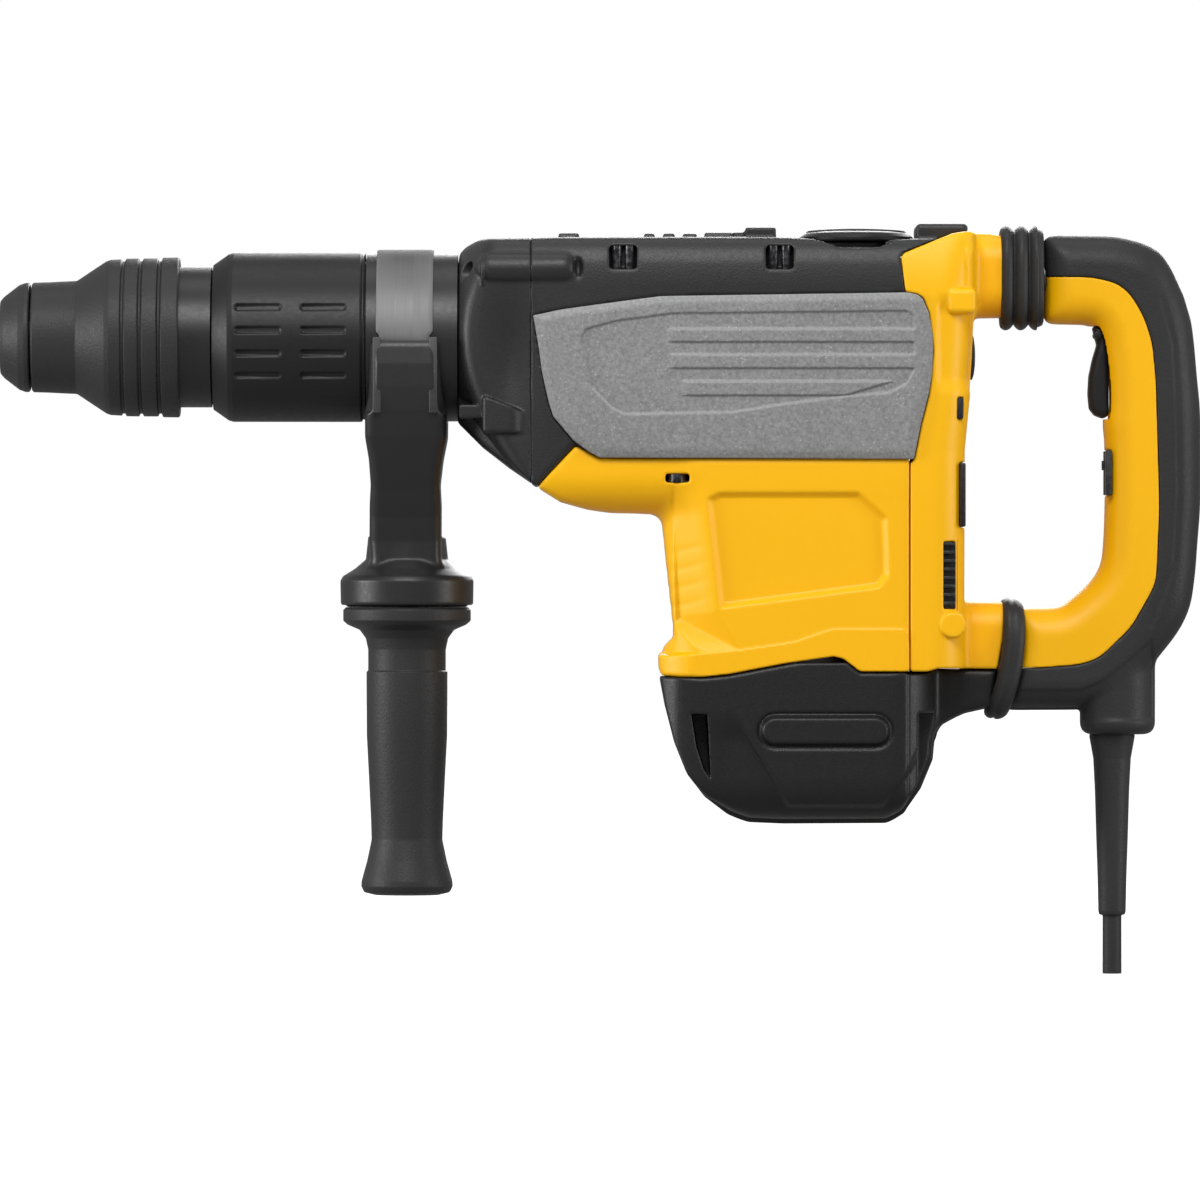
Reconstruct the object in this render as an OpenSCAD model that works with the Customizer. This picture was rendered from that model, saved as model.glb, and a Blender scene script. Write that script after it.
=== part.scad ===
// Rotary hammer with a tool socket for 18 mm grooved shanks, vertical motor,
// crank-driven pneumatic hammer mechanism and a floating D-shaped rear handle.
// Frame: +X runs from the tool socket's mouth to the rear handle, +Z is up,
// y = 0 is the middle plane and the spindle's axis is the X axis.

/* [Chuck] */
// Radius of the tool socket's bore
socket_r = 9.05; // [9.02:0.01:9.1]
// Length of the tool socket's bore
socket_len = 88; // [80:1:90]
// Radius of the locking sleeve's ribbed skirt
sleeve_r = 40; // [38:0.5:41]
// Travel of the locking sleeve towards the rear
sleeve_travel = 10; // [6:1:11]

/* [Barrel] */
// Outer radius of the slotted barrel sleeve
barrel_r = 42.25; // [41.5:0.25:43]
// Radius of the seat that the side handle's clamp band grips
seat_r = 42; // [41.5:0.1:42]
// Number of cooling slots in one row of the barrel sleeve
slot_cols = 2; // [1:1:2]

/* [Hammer mechanism] */
// Radius of the cylinder that the piston and striker run in
cyl_r = 22; // [21.5:0.1:22]
// Throw of the crank pin
crank_e = 11; // [9:0.5:11]
// Length of the connecting rod between its pivots
rod_len = 66; // [64:1:67]

/* [Gear train] */
// Module of all gears
gm = 1.5; // [1.5]
// Teeth of the motor pinion
z_motor = 9; // [9]
// Teeth of the large crank gear
z_crank = 50; // [50]
// Teeth of the small gear on the crankshaft
z_crank2 = 20; // [20]
// Teeth of the clutch gear
z_clutch = 44; // [44]
// Teeth of the bevel pinion
z_bevel = 14; // [14]
// Teeth of the bevel ring gear on the spindle
z_ring = 46; // [46]

/* [Housing] */
// Half of the gear housing's width
house_w = 50; // [49:0.5:51]
// Wall thickness of the housings
wall = 4; // [3:0.5:5]
// Thickness of the side covers
cover_t = 4; // [3:0.5:5]

/* [Handles] */
// Radius of the side handle's grip
grip_r = 19.75; // [18:0.25:21]
// Half of the rear handle's width
dh_w = 19; // [17:0.5:21]
// Radius of the power cord
cord_r = 4.75; // [4:0.25:5]

/* [Hidden] */
$fn = 64;

// gear centres
motor_x = 398;
crank_x = motor_x - (z_motor + z_crank) / 2 * gm;
clutch_x = crank_x - (z_crank2 + z_clutch) / 2 * gm;
bevel_R = z_ring * gm / 2;
bevel_r = z_bevel * gm / 2;
bevel_a = atan(bevel_r / bevel_R);
wrist_x = crank_x + crank_e - rod_len;
gr_x = 203.5;          // axis of the side handle
dial_x = 428;          // axis of the selector dial

module about_x(x0 = 0) translate([x0, 0, 0]) rotate([0, 90, 0]) children();
// revolve about X: points are [distance from the axis, position along X]
module turn_x(pts) rotate([90, 0, 90]) rotate_extrude() polygon(pts);
module rod_x(x0, x1, r) translate([x0, 0, 0]) rotate([0, 90, 0]) cylinder(h = x1 - x0, r = r);
module rod_y(x, y0, y1, z, r) translate([x, y0, z]) rotate([-90, 0, 0]) cylinder(h = y1 - y0, r = r);
module rod_z(x, y, z0, z1, r) translate([x, y, z0]) cylinder(h = z1 - z0, r = r);
// side-view outline in X and Z, extruded from y0 to y1
module slab(y0, y1) translate([0, y1, 0]) rotate([90, 0, 0]) linear_extrude(height = y1 - y0) children();
// rectangle with round corners, centred
module rrect(w, h, r) {
  square([w - 2 * r, h], center = true);
  square([w, h - 2 * r], center = true);
  for (a = [-1, 1], b = [-1, 1]) translate([a * (w / 2 - r), b * (h / 2 - r)]) circle(r = r);
}
// spur gear outline: straight-sided teeth with generous backlash
function tooth(i, n, ro, rp, rr, t) = let (a = 360 / n * i, p = 360 / n)
  [for (q = [[rr, -t * 1.25], [rp, -t], [ro, -t * 0.45], [ro, t * 0.45], [rp, t], [rr, t * 1.25]])
    [q[0] * cos(a + p * q[1]), q[0] * sin(a + p * q[1])]];
module gear2d(n, m, off = 0, t = 0.19) {
  rp = n * m / 2;
  rotate(off) polygon([for (i = [0 : n - 1]) each tooth(i, n, rp + 0.75 * m, rp, rp - 1.05 * m, t)]);
}
// sealed ball bearing as one unit with a shallow groove between its rings on both faces
module ring_unit(ri, ro, b) difference() {
  cylinder(h = b, r = ro);
  translate([0, 0, -1]) cylinder(h = b + 2, r = ri);
  for (z = [-1, b - 0.6]) translate([0, 0, z]) difference() {
    cylinder(h = 1.6, r = ro - (ro - ri) * 0.27);
    translate([0, 0, -1]) cylinder(h = 4, r = ri + (ro - ri) * 0.27);
  }
}
// coil spring along Z as a stack of linked turns: a helical sweep of short rods would be faceted,
// so each turn is a true ring and neighbouring rings are joined by a slanted link
module coil(r, w, h, n) {
  p = (h - 2 * w) / n;
  for (i = [0 : n]) translate([0, 0, w + i * p]) rotate_extrude() translate([r, 0]) circle(r = w, $fn = 24);
  for (i = [0 : n - 1]) rotate([0, 0, 180 * i]) translate([r, 0, w + i * p]) cylinder(h = p, r = w * 0.8, $fn = 16);
}
module screw_x(x, y, z, l, r = 2.5, hr = 4.5) translate([x, y, z]) rotate([0, 90, 0]) difference() {
  union() { cylinder(h = 5, r = hr); cylinder(h = l, r = r); }
  translate([0, 0, -1]) cylinder(h = 4, r = 2.2, $fn = 6);
}
module screw_z(x, y, z, l, r = 2.5, hr = 4.5) translate([x, y, z]) difference() {
  union() { cylinder(h = 4, r = hr); cylinder(h = l, r = r); }
  translate([0, 0, -1]) cylinder(h = 3.5, r = 2.2, $fn = 6);
}

// ---- chuck and spindle ----
module nose_cap() color([0.13, 0.13, 0.14]) turn_x([[13.6, 0.2], [17.5, 0], [18.7, 1.2], [23.8, 6], [27.0, 12],
  [27.2, 15.3], [17.2, 15.3], [17.2, 12.9], [13.6, 12.9]]);
module roller_slots(dr) for (s = [0, 180]) rotate([s, 0, 0]) translate([50, -3.1 - dr, 0]) cube([16.4, 6.2 + 2 * dr, 22]);
module tool_holder() color([0.55, 0.55, 0.57]) difference() {
  turn_x([[socket_r, 0], [13.4, 0], [13.4, 13.1], [17, 13.3], [17, 64 + sleeve_travel], [26, 64 + sleeve_travel], [26, 88.2], [35, 88.2], [35, 106],
    [26, 106.3], [24, 107], [24, 150], [cyl_r - 0.05, 150], [cyl_r - 0.05, 164],
    [16, 164], [14.05, 152], [14.05, socket_len + 6], [socket_r, socket_len]]);
  roller_slots(0);
}
module locking_rollers() color([0.75, 0.76, 0.78])
  for (s = [0, 180]) rotate([s, 0, 0]) translate([51, 0, 12.3]) rotate([0, 90, 0]) cylinder(h = 14, r = 3);
module sleeve_spring() color([0.6, 0.6, 0.62]) about_x(63.2) coil(20, 1.1, 10.4, 2);
module hammer_tube() color([0.6, 0.61, 0.63]) difference() {
  turn_x([[cyl_r, 150.1], [24.4, 150.1], [24.4, 160], [27.5, 163], [27.5, 328], [26.5, 330], [cyl_r + 1.5, 330], [cyl_r, 327]]);
  for (a = [0 : 60 : 300]) rotate([a, 0, 0]) rod_z(222, 0, 15, 40, 1.6);
}
module bevel_ring_gear() color([0.5, 0.5, 0.52]) difference() {
  turn_x([[27.55, 278], [36.2, 278], [36.9, 284], [bevel_R + 2, clutch_x - bevel_r + 0.2],
    [28.2, clutch_x - bevel_r + 2.9], [27.55, clutch_x - bevel_r + 2.9]]);
  for (i = [0 : z_ring - 1]) rotate([360 / z_ring * (i + 0.5), 0, 0])
    translate([clutch_x - bevel_r + 0.9, 0, -bevel_R]) rotate([0, bevel_a, 0])
      linear_extrude(height = 30, center = true) polygon([[-2.2, -1.08], [4, -2.05], [4, 2.05], [-2.2, 1.08]]);
}
module locking_sleeve() color([0.12, 0.12, 0.13]) turn_x([[22, 16], [27.8, 16], [28.5, 17], [28.5, 39], [38.5, 54], [39.5, 55],
  [39.5, 61.6], [38, 62.2], [38, 63.2], [39.5, 63.8], [39.5, 70.4], [38, 71], [38, 72], [39.5, 72.6], [39.5, 79.6],
  [38, 80.2], [38, 81.2], [sleeve_r, 81.8], [sleeve_r, 89], [39, 90], [35.4, 90], [35.4, 62], [27, 52], [23.05, 50], [23.05, 22], [22, 22]]);
module lock_ring() color([0.62, 0.62, 0.64]) turn_x([[17.05, 46], [23, 46], [23, 50], [26.9, 52.2], [26.9, 55],
  [22, 58], [22, 62.8], [17.05, 62.8]]);
module striker() color([0.62, 0.63, 0.65]) turn_x([[0, 190], [11, 190], [12, 191], [12, 201], [cyl_r - 0.05, 203], [cyl_r - 0.05, 208],
  [cyl_r - 1.2, 208.5], [cyl_r - 1.2, 211.5], [cyl_r - 0.05, 212], [cyl_r - 0.05, 226], [0, 226]]);
module beat_piece() color([0.62, 0.63, 0.65]) turn_x([[0, 96], [7.5, 96], [8.9, 97.5], [8.9, 106], [14, 110], [14, 138], [9, 142],
  [9, 156], [8, 157], [0, 157]]);
module piston() color([0.72, 0.72, 0.74]) difference() {
  turn_x([[0, 250], [cyl_r - 0.3, 250], [cyl_r - 0.05, 251], [cyl_r - 0.05, 253], [cyl_r - 1.2, 253.5], [cyl_r - 1.2, 256.5],
    [cyl_r - 0.05, 257], [cyl_r - 0.05, 312], [19.6, 312], [19.6, 262], [18, 260], [0, 260]]);
}
module connecting_rod() color([0.5, 0.5, 0.52]) difference() {
  union() {
    rod_z(crank_x + crank_e, 0, -6.5, 6.5, 10);
    rod_z(wrist_x, 0, -5, 5, 6.5);
    translate([wrist_x, -3.5, -4.5]) cube([rod_len, 7, 9]);
  }
  rod_z(crank_x + crank_e, 0, -9, 9, 6.05);
  rod_z(wrist_x, 0, -9, 9, 3.05);
}
module wrist_pin() color([0.75, 0.76, 0.78]) rod_z(wrist_x, 0, -6.6, 6.6, 3);

// ---- barrel ----
module barrel() color([0.45, 0.45, 0.47]) turn_x([[30.05, 108], [36, 108], [37.6, 110], [37.6, 183.2], [seat_r, 183.6],
  [seat_r, 229], [36, 229.2], [36, 235], [30.05, 235]]);
module barrel_sleeve() color([0.12, 0.12, 0.13]) difference() {
  turn_x([[34.9, 106.6], [35.4, 106.4], [41.8, 115], [barrel_r, 116], [barrel_r, 180.8], [41.2, 181.4], [41.2, 182.4],
    [41.8, 183], [37.75, 183], [37.75, 109.9], [36.2, 107.8], [34.9, 107.8]]);
  for (c = [0 : slot_cols - 1], a = [-27.8, -11.9, 3.8, 19.7], t = [a, 180 - a])
    rotate([t, 0, 0]) translate([118.5 + 32.5 * c, 38.6, 0]) rotate([-90, 0, 0]) linear_extrude(height = 6)
      translate([11.5, 0]) rrect(23, 3.4, 1.6);
}
module front_seal() color([0.1, 0.1, 0.1]) turn_x([[24.06, 109], [30, 109], [30, 116], [28, 116], [28, 111.5], [25.5, 111.5], [24.06, 114]]);
module front_bearing() color([0.7, 0.71, 0.73]) about_x(119) ring_unit(24.03, 30, 22);
module spindle_bearing() color([0.7, 0.71, 0.73]) about_x(238) ring_unit(27.53, 40, 13);

// ---- housings ----
module front_housing() color([0.11, 0.11, 0.12]) difference() {
  intersection() {
    slab(-house_w, house_w) polygon([[229.2, 43], [231.5, 46], [240.5, 48.9], [251.5, 49.4], [265.8, 49.5], [265.8, -73.2],
      [260, -70.2], [250, -63.2], [240, -54.7], [229.2, -42.7]]);
    rotate([90, 0, 90]) linear_extrude(height = 300) union() { translate([0, -12]) rrect(2 * house_w, 124, 34); }
    union() {
      turn_x([[0, 229.1], [43, 229.1], [62, 246], [90, 250], [90, 267], [0, 267]]);
      slab(-34, 34) polygon([[229.2, 0], [240, -54.8], [266, -74], [266, 0]]);
    }
  }
  rod_x(228, 270, 36.05);
  rod_x(235.5, 252, 40.05);
  rod_x(252.5, 268, 41.5);
  for (s = [-1, 1]) for (z = [32, -36]) translate([230, s * 36, z]) rotate([0, 90, 0]) cylinder(h = 40, r = 2.7);
  for (s = [-1, 1]) for (z = [32, -36]) translate([220, s * 36, z]) rotate([0, 90, 0]) cylinder(h = 24.1, r = 4.8);
}
module gh_outline() polygon([[266, 49.6], [278, 49.4], [280, 51], [291, 51.2], [318, 51.3], [370, 52.2], [372, 54.2], [388, 54.2], [390, 51], [400, 50], [449, 49.6],
  [449, 24], [451.5, 18], [451.5, -62], [300, -60.2], [288, -53.8], [268.2, -73.8], [266, -73.3]]);
module gear_housing() color([0.12, 0.12, 0.13]) difference() {
  union() {
    intersection() {
      slab(-house_w, house_w) gh_outline();
      rotate([90, 0, 90]) linear_extrude(height = 500) translate([0, -22]) rrect(2 * house_w, 153, 26);
    }
    slab(-24, 24) polygon([[445, 47], [445, 43.5], [449, 41.5], [450.4, 41.3], [474.8, 51.5], [482, 52.5], [483.2, 52.6], [483.2, 55], [482, 56.2], [458.6, 56.2], [457.4, 55], [457.4, 49.6], [446, 49.6]]);
  }
  translate([270, -house_w + wall + 1, -80]) cube([176, 2 * (house_w - wall - 1), 80 + 20]);
  translate([270, -house_w + 24, 15]) cube([176, 2 * house_w - 48, 25]);
  difference() {
    rod_z(dial_x, 0, 43.8, 60, 40);
    rod_z(dial_x, 0, 43, 49.9, 22);
    translate([dial_x + 14, -24.5, 40]) cube([60, 49, 30]);
    translate([dial_x - 100, -60, 40]) cube([62, 120, 30]);
  }
  for (s = [-1, 1]) for (x = [311.5, 389.2]) translate([x - 6.8, s > 0 ? 40 : -60, 33]) cube([13.6, 20, 11.6]);
  rod_x(262, 275, 41.5);
  rod_x(269, 300, 38.5);
  rod_z(dial_x, 0, 30, 60, 8.05);
  for (s = [-1, 1]) for (z = [32, -36]) translate([260, s * 36, z]) rotate([0, 90, 0]) cylinder(h = 31, r = 2.7);
  translate([442, -20, -70]) cube([20, 40, 60]);
}
module cover_outline(d = 0) polygon([[267 + d, 9.6 - d], [290, 13 - d], [330, 19 - d], [452.4 - d, 21 - d], [460 - d, 17.6 - d], [463 - d, 10.6], [465 - d, -7.8],
  [463 - d, -28.4], [459 - d, -43.8], [455.5 - d, -61 + d], [300 + d, -60.2 + d], [287.5 + d, -52.8 + d], [278 + d, -43.4 + d], [272.5 + d, -26.4]]);
module side_cover(s) color([0.5, 0.5, 0.51]) difference() {
  if (s > 0) slab(house_w + 0.1, house_w + 0.1 + cover_t) cover_outline();
  else slab(-house_w - 0.1 - cover_t, -house_w - 0.1) cover_outline();
  for (i = [0 : 4]) slab(s > 0 ? house_w + cover_t - 0.7 : -house_w - cover_t - 2, s > 0 ? house_w + cover_t + 2 : -house_w - cover_t + 0.7)
    translate([338, 3.2 - 6.5 * i - 10]) square([104 - 6 * abs(i - 2), 1.2]);
}
module side_cover_left() side_cover(1);
module side_cover_right() side_cover(-1);
module cover_screws() color([0.2, 0.2, 0.21]) for (s = [-1, 1]) {
  for (x = [311.5, 389.2], d = [-3.1, 3.1]) rod_z(x + d, s * 43.6, 33.05, 44.55, 2.3);
  rod_z(338.2, s * 45, -72.6, -68.8, 4.2);
}
module housing_screws() color([0.35, 0.35, 0.36]) for (s = [-1, 1]) for (z = [32, -36]) screw_x(239, s * 36, z, 35, 2.5, 4.6);
module bearing_bridge() color([0.62, 0.62, 0.63]) difference() {
  translate([275, -44.8, -45.4]) cube([115, 89.6, 8.4]);
  rod_z(clutch_x, 0, -50, -30, 16.02);
  rod_z(crank_x, 0, -50, -30, 20.02);
  for (a = [-1, 1], x = [330, 380]) rod_z(x, a * 36, -50, -30, 3);
  translate([376, -12, -50]) cube([20, 24, 20]);
}
module gearcase_floor() color([0.62, 0.62, 0.63]) difference() {
  translate([0, 0, -80]) linear_extrude(height = 8) polygon([[291, -29], [303, -40], [440, -40], [440, 40], [303, 40], [291, 29]]);
  rod_z(clutch_x, 0, -90, -60, 11.02);
  rod_z(crank_x, 0, -90, -60, 13.02);
  rod_z(motor_x, 0, -90, -60, 17.52);
}
module gear_bearings() color([0.7, 0.71, 0.73]) {
  translate([crank_x, 0, -45]) ring_unit(8.53, 20, 10);
  translate([crank_x, 0, -80]) ring_unit(6.03, 13, 7.5);
  translate([clutch_x, 0, -45.4]) ring_unit(7.53, 16, 8);
  translate([clutch_x, 0, -80]) ring_unit(5.03, 11, 7.5);
}
module motor_bearings() color([0.7, 0.71, 0.73]) { translate([motor_x, 0, -82]) ring_unit(5.03, 17.5, 9); translate([motor_x, 0, -239]) ring_unit(5.03, 13, 8); }

module mh_plan(d) union() {
  translate([392 - d * 0, 0]) rrect(124 - 2 * d, 2 * (house_w + 1 - d), 30 - d);
}
module motor_housing() color([0.99, 0.72, 0.12]) difference() {
  union() {
    intersection() {
      slab(-house_w - 1, house_w + 1) polygon([[331, -80], [331, -97], [333.5, -116], [336.5, -143], [330, -157], [330, -167.4], [453.3, -167.4], [453.3, -62.2], [331, -62.2]]);
      translate([0, 0, -180]) linear_extrude(height = 130) mh_plan(0);
    }
    intersection() {
      slab(-house_w + 2, house_w - 2) polygon([[288, -53.95], [300, -60.4], [345, -62.2], [345, -97], [331, -97.2], [325, -88.7], [306, -88.2], [293, -85.7], [280, -82.2], [268.3, -74.1]]);
      translate([0, 0, -100]) linear_extrude(height = 60) translate([318, 0]) rrect(104, 96, 26);
    }
  }
  rod_z(motor_x, 0, -170, -104, 44.05);
  rod_z(motor_x, 0, -104.1, -84, 45.5);
  translate([0, 0, -80.1]) linear_extrude(height = 30) polygon([[290.8, -29.1], [302.9, -40.2], [440.4, -40.2], [440.4, 40.2], [302.9, 40.2], [290.8, 29.1]]);
  for (s = [-1, 1]) translate([332.6, s > 0 ? 40.5 : -60.5, -72.8]) cube([11.8, 20, 4.2]);
  rod_z(motor_x, 0, -90, -60, 17.6);
  rod_z(clutch_x, 0, -72.1, -40, 35);
  translate([430, -30, -160]) cube([30, 60, 90]);
  for (s = [-1, 1]) for (x = [345, 446]) rod_z(x, s * 38, -170, -150, 2.2);
}
module stator() color([0.35, 0.35, 0.36]) {
  difference() {
    rod_z(motor_x, 0, -182, -112, 44);
    rod_z(motor_x, 0, -190, -100, 27.5);
    for (s = [-1, 1]) translate([motor_x - 20, s > 0 ? 24 : -36, -190]) cube([40, 12, 100]);
  }
  for (s = [-1, 1]) color([0.72, 0.4, 0.15]) difference() {
    translate([motor_x - 19.5, s > 0 ? 28.5 : -35.5, -188]) cube([39, 7, 82]);
    rod_z(motor_x, 0, -190, -100, 28);
  }
}
module armature() color([0.4, 0.4, 0.42]) difference() {
  union() { rod_z(motor_x, 0, -180, -114, 26.5); rod_z(motor_x, 0, -187, -180, 22); rod_z(motor_x, 0, -114, -107, 22); }
  rod_z(motor_x, 0, -190, -100, 6.02);
  for (i = [0 : 11]) translate([motor_x, 0, -190]) rotate([0, 0, 30 * i]) translate([24, -1.2, 9.9]) cube([5, 2.4, 66.2]);
}
module commutator() color([0.75, 0.45, 0.2]) difference() {
  rod_z(motor_x, 0, -212, -190, 17);
  rod_z(motor_x, 0, -220, -180, 6.02);
  for (i = [0 : 23]) translate([motor_x, 0, -220]) rotate([0, 0, 15 * i]) translate([16, -0.3, 4]) cube([3, 0.6, 26]);
}
module fan() color([0.15, 0.15, 0.16]) difference() {
  union() {
    rod_z(motor_x, 0, -104, -87, 10);
    rod_z(motor_x, 0, -89, -87, 41);
    for (i = [0 : 10]) translate([motor_x, 0, -103]) rotate([0, 0, 360 / 11 * i]) translate([9, -1, 0]) rotate([0, 0, 12]) cube([29, 1.8, 15]);
  }
  rod_z(motor_x, 0, -110, -80, 6.02);
}
module motor_shaft() color([0.62, 0.63, 0.65]) union() {
  rod_z(motor_x, 0, -238.5, -216, 5);
  rod_z(motor_x, 0, -216, -84, 6);
  rod_z(motor_x, 0, -84, -60.5, 5);
  translate([motor_x, 0, -60.5]) linear_extrude(height = 14) gear2d(z_motor, gm, 180 + 180 / z_motor);
}
module brush_holders() color([0.7, 0.6, 0.3]) for (s = [-1, 1]) difference() {
  translate([motor_x - 8, s > 0 ? 17.6 : -41, -207]) cube([16, 23.4, 12]);
  translate([motor_x - 5.1, s > 0 ? 10 : -40, -205.1]) cube([10.2, 30, 8.2]);
}
module carbon_brushes() color([0.08, 0.08, 0.08]) for (s = [-1, 1])
  translate([motor_x - 5, s > 0 ? 17.15 : -35.15, -205]) cube([10, 18, 8]);

module ec_outline() polygon([[330.2, -168], [333, -184], [337.5, -202.5], [343.5, -217.5], [352.5, -229], [364, -238], [374, -242], [391.5, -243.3],
  [442.5, -242.8], [451.5, -237], [460, -225], [466, -210.5], [467, -197], [477.5, -190], [493.6, -186.4], [496.6, -166.2], [458, -166.2], [453.6, -168]]);
module end_cap() color([0.1, 0.1, 0.11]) difference() {
  intersection() {
    slab(-house_w - 1, house_w + 1) ec_outline();
    union() {
      translate([0, 0, -250]) linear_extrude(height = 100) mh_plan(-1);
      slab(-21, 21) polygon([[440, -243], [467, -200], [497, -188], [497, -160], [440, -160]]);
    }
  }
  rod_z(motor_x, 0, -214, -160, 44.05);
  rod_z(motor_x, 0, -234, -213, 36);
  rod_z(motor_x, 0, -239.6, -233, 13.02);
  translate([442, -15, -183]) cube([60, 30, 20]);
  for (s = [-1, 1]) for (i = [0 : 3]) translate([342 + 2.4 * i, s > 0 ? 44 : -54, -212 - 1.5 * i]) rotate([0, 8, 0]) cube([1.3, 10, 26]);
  for (s = [-1, 1]) translate([458, s > 0 ? 38 : -54, -222]) cube([7, 16, 34]);
}
module rear_cover() color([0.99, 0.72, 0.12]) difference() {
  union() {
    intersection() {
      slab(-house_w, house_w) polygon([[449.2, 39], [450.5, 41], [475, 51.2], [482, 52.2], [494, 52], [499.5, 50.5],
        [499.5, 9.5], [487.5, 9.5], [486.5, 8], [487.5, -6], [485, -30], [481.5, -56], [481.2, -131], [500.9, -132], [496.9, -164.5], [454, -166], [453.5, -62], [453, 19], [449.3, 25]]);
      translate([0, 0, -200]) linear_extrude(height = 300) translate([420, 0]) rrect(134, 2 * house_w, 34);
    }
    intersection() {
      slab(-22, 22) polygon([[470, 49], [475, 51.2], [482, 52.2], [494, 52], [499.5, 50.5], [499.5, 9.5], [470, 9.5]]);
      rotate([90, 0, 90]) linear_extrude(height = 600) translate([0, 30.5]) rrect(44, 43.6, 12);
    }
    slab(-21, 21) polygon([[470, -131], [500.9, -132], [496.9, -164.5], [470, -164.5]]);
    for (s = [-1, 1]) slab(s > 0 ? 9 : -13, s > 0 ? 13 : -9) polygon([[480, -152], [504.5, -152], [508.2, -156], [508.2, -166], [505, -170], [480, -170]]);
  }
  difference() {
    intersection() {
      slab(-house_w + 4, house_w - 4) polygon([[440, 36], [474, 46], [482, 47], [482, -26], [477, -56], [477, -160], [440, -160]]);
      translate([0, 0, -200]) linear_extrude(height = 300) translate([416, 0]) rrect(134, 2 * (house_w - 4), 30);
    }
    translate([478, -24, 6]) cube([20, 48, 50]);
  }
  translate([0, 0, 29.5]) rod_x(484, 505, 10.6);
  translate([0, 0, -9.5]) rod_x(470, 500, 4.05);
  rod_y(504, -20, 20, -161, 4.02);
  for (i = [0 : 5], s = [-1, 1]) translate([468, s > 0 ? 42 : -60, -135 + 6 * i]) cube([9, 18, 2.4]);
  translate([488, -8.95, -176]) cube([40, 17.9, 31]);
}
module control_module() color([0.2, 0.25, 0.22]) translate([457, -28, -70]) cube([16, 56, 70]);
module handle_pivot_pin() color([0.7, 0.71, 0.73]) rod_y(504, -14.5, 14.5, -161, 4);

// ---- side handle ----
module clamp_band() color([0.55, 0.55, 0.56]) difference() {
  union() {
    turn_x([[seat_r + 0.1, 188.7], [seat_r + 1.8, 188.7], [seat_r + 1.8, 217], [seat_r + 0.1, 217]]);
    translate([gr_x - 9, -9, -50]) cube([18, 18, 7]);
  }
  rod_x(180, 230, seat_r + 0.1);
  rod_z(gr_x, 0, -60, -30, 4.02);
}
module clamp_bolt() color([0.6, 0.6, 0.62]) union() { rod_z(gr_x, 0, -200, -42.3, 4); translate([0, 0, 0]) rod_z(gr_x, 0, -54, -50.1, 7); }
module handle_yoke() color([0.1, 0.1, 0.11]) difference() {
  union() {
    intersection() {
      rotate([90, 0, 90]) linear_extrude(height = 400) polygon([[-49, -1], [-50, -30], [-34, -66], [-21, -92], [-20, -116], [20, -116], [21, -92], [34, -66], [50, -30], [49, -1]]);
      slab(-60, 60) polygon([[186, -1], [220, -1], [221, -28], [223.5, -36], [223.5, -51], [219, -70], [220.5, -82], [219, -104], [223.5, -116],
        [183.5, -116], [188, -104], [186.5, -82], [187, -70], [183.5, -51], [183.5, -36], [186, -28]]);
    }
    translate([gr_x, 0, 0]) rotate_extrude() polygon([[0, -134.5], [29.8, -134.5], [30, -133.7], [32, -133.7], [33.2, -132], [33.2, -120.5], [31, -118.6], [20.5, -112], [19, -100], [0, -100]]);
  }
  rod_x(180, 228, seat_r + 1.95);
  rod_z(gr_x, 0, -140, -40, 4.6);
  translate([gr_x - 9.3, -9.3, -55]) cube([18.6, 18.6, 20]);
}
module side_grip() color([0.09, 0.09, 0.1]) translate([gr_x, 0, 0]) rotate_extrude() polygon([[4.15, -134.6], [30, -134.6], [30.6, -135.4], [31.75, -136],
  [31.75, -142.6], [31, -143.4], [23.5, -147.4], [20.4, -151.6], [19.3, -156], [19.3, -167], [grip_r, -168], [grip_r, -244], [17.6, -254], [17.8, -259],
  [22, -270], [22.6, -273], [21, -277.5], [18, -279], [0, -279], [0, -204], [4.15, -204]]);

// ---- gear train ----
module crankshaft() color([0.5, 0.5, 0.52]) union() {
  rod_z(crank_x, 0, -80, -70, 6);
  rod_z(crank_x, 0, -60.6, -31, 8.5);
  rod_z(crank_x, 0, -31, -20, 19);
  rod_z(crank_x + crank_e, 0, -20, 8, 6);
  translate([crank_x, 0, -71.8]) linear_extrude(height = 11.3) gear2d(z_crank2, gm, 180);
}
module crank_gear() color([0.55, 0.55, 0.57]) difference() {
  translate([crank_x, 0, -58]) linear_extrude(height = 11.5) gear2d(z_crank, gm, 0);
  rod_z(crank_x, 0, -60, -40, 8.52);
  for (i = [0 : 5]) rotate_about(crank_x, 60 * i + 30) rod_z(23, 0, -60, -40, 6);
}
module rotate_about(x, a) translate([x, 0, 0]) rotate([0, 0, a]) children();
module clutch_gear() color([0.55, 0.55, 0.57]) difference() {
  translate([clutch_x, 0, -71.6]) linear_extrude(height = 10.6) gear2d(z_clutch, gm, 180 / z_clutch);
  rod_z(clutch_x, 0, -80, -50, 7.52);
}
module bevel_pinion() color([0.5, 0.5, 0.52]) union() {
  rod_z(clutch_x, 0, -80, -72, 5);
  rod_z(clutch_x, 0, -72, -36.9, 7.5);
  translate([clutch_x, 0, -36.9]) difference() {
    cylinder(h = 8.2, r1 = 12.1, r2 = 9.5);
    for (i = [0 : z_bevel - 1]) rotate([0, 0, 360 / z_bevel * i]) translate([9.7, 0, 4.1]) rotate([0, -bevel_a, 0])
      linear_extrude(height = 20, center = true) polygon([[-1.6, -1.15], [4, -1.9], [4, 1.9], [-1.6, 1.15]]);
  }
}

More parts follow.
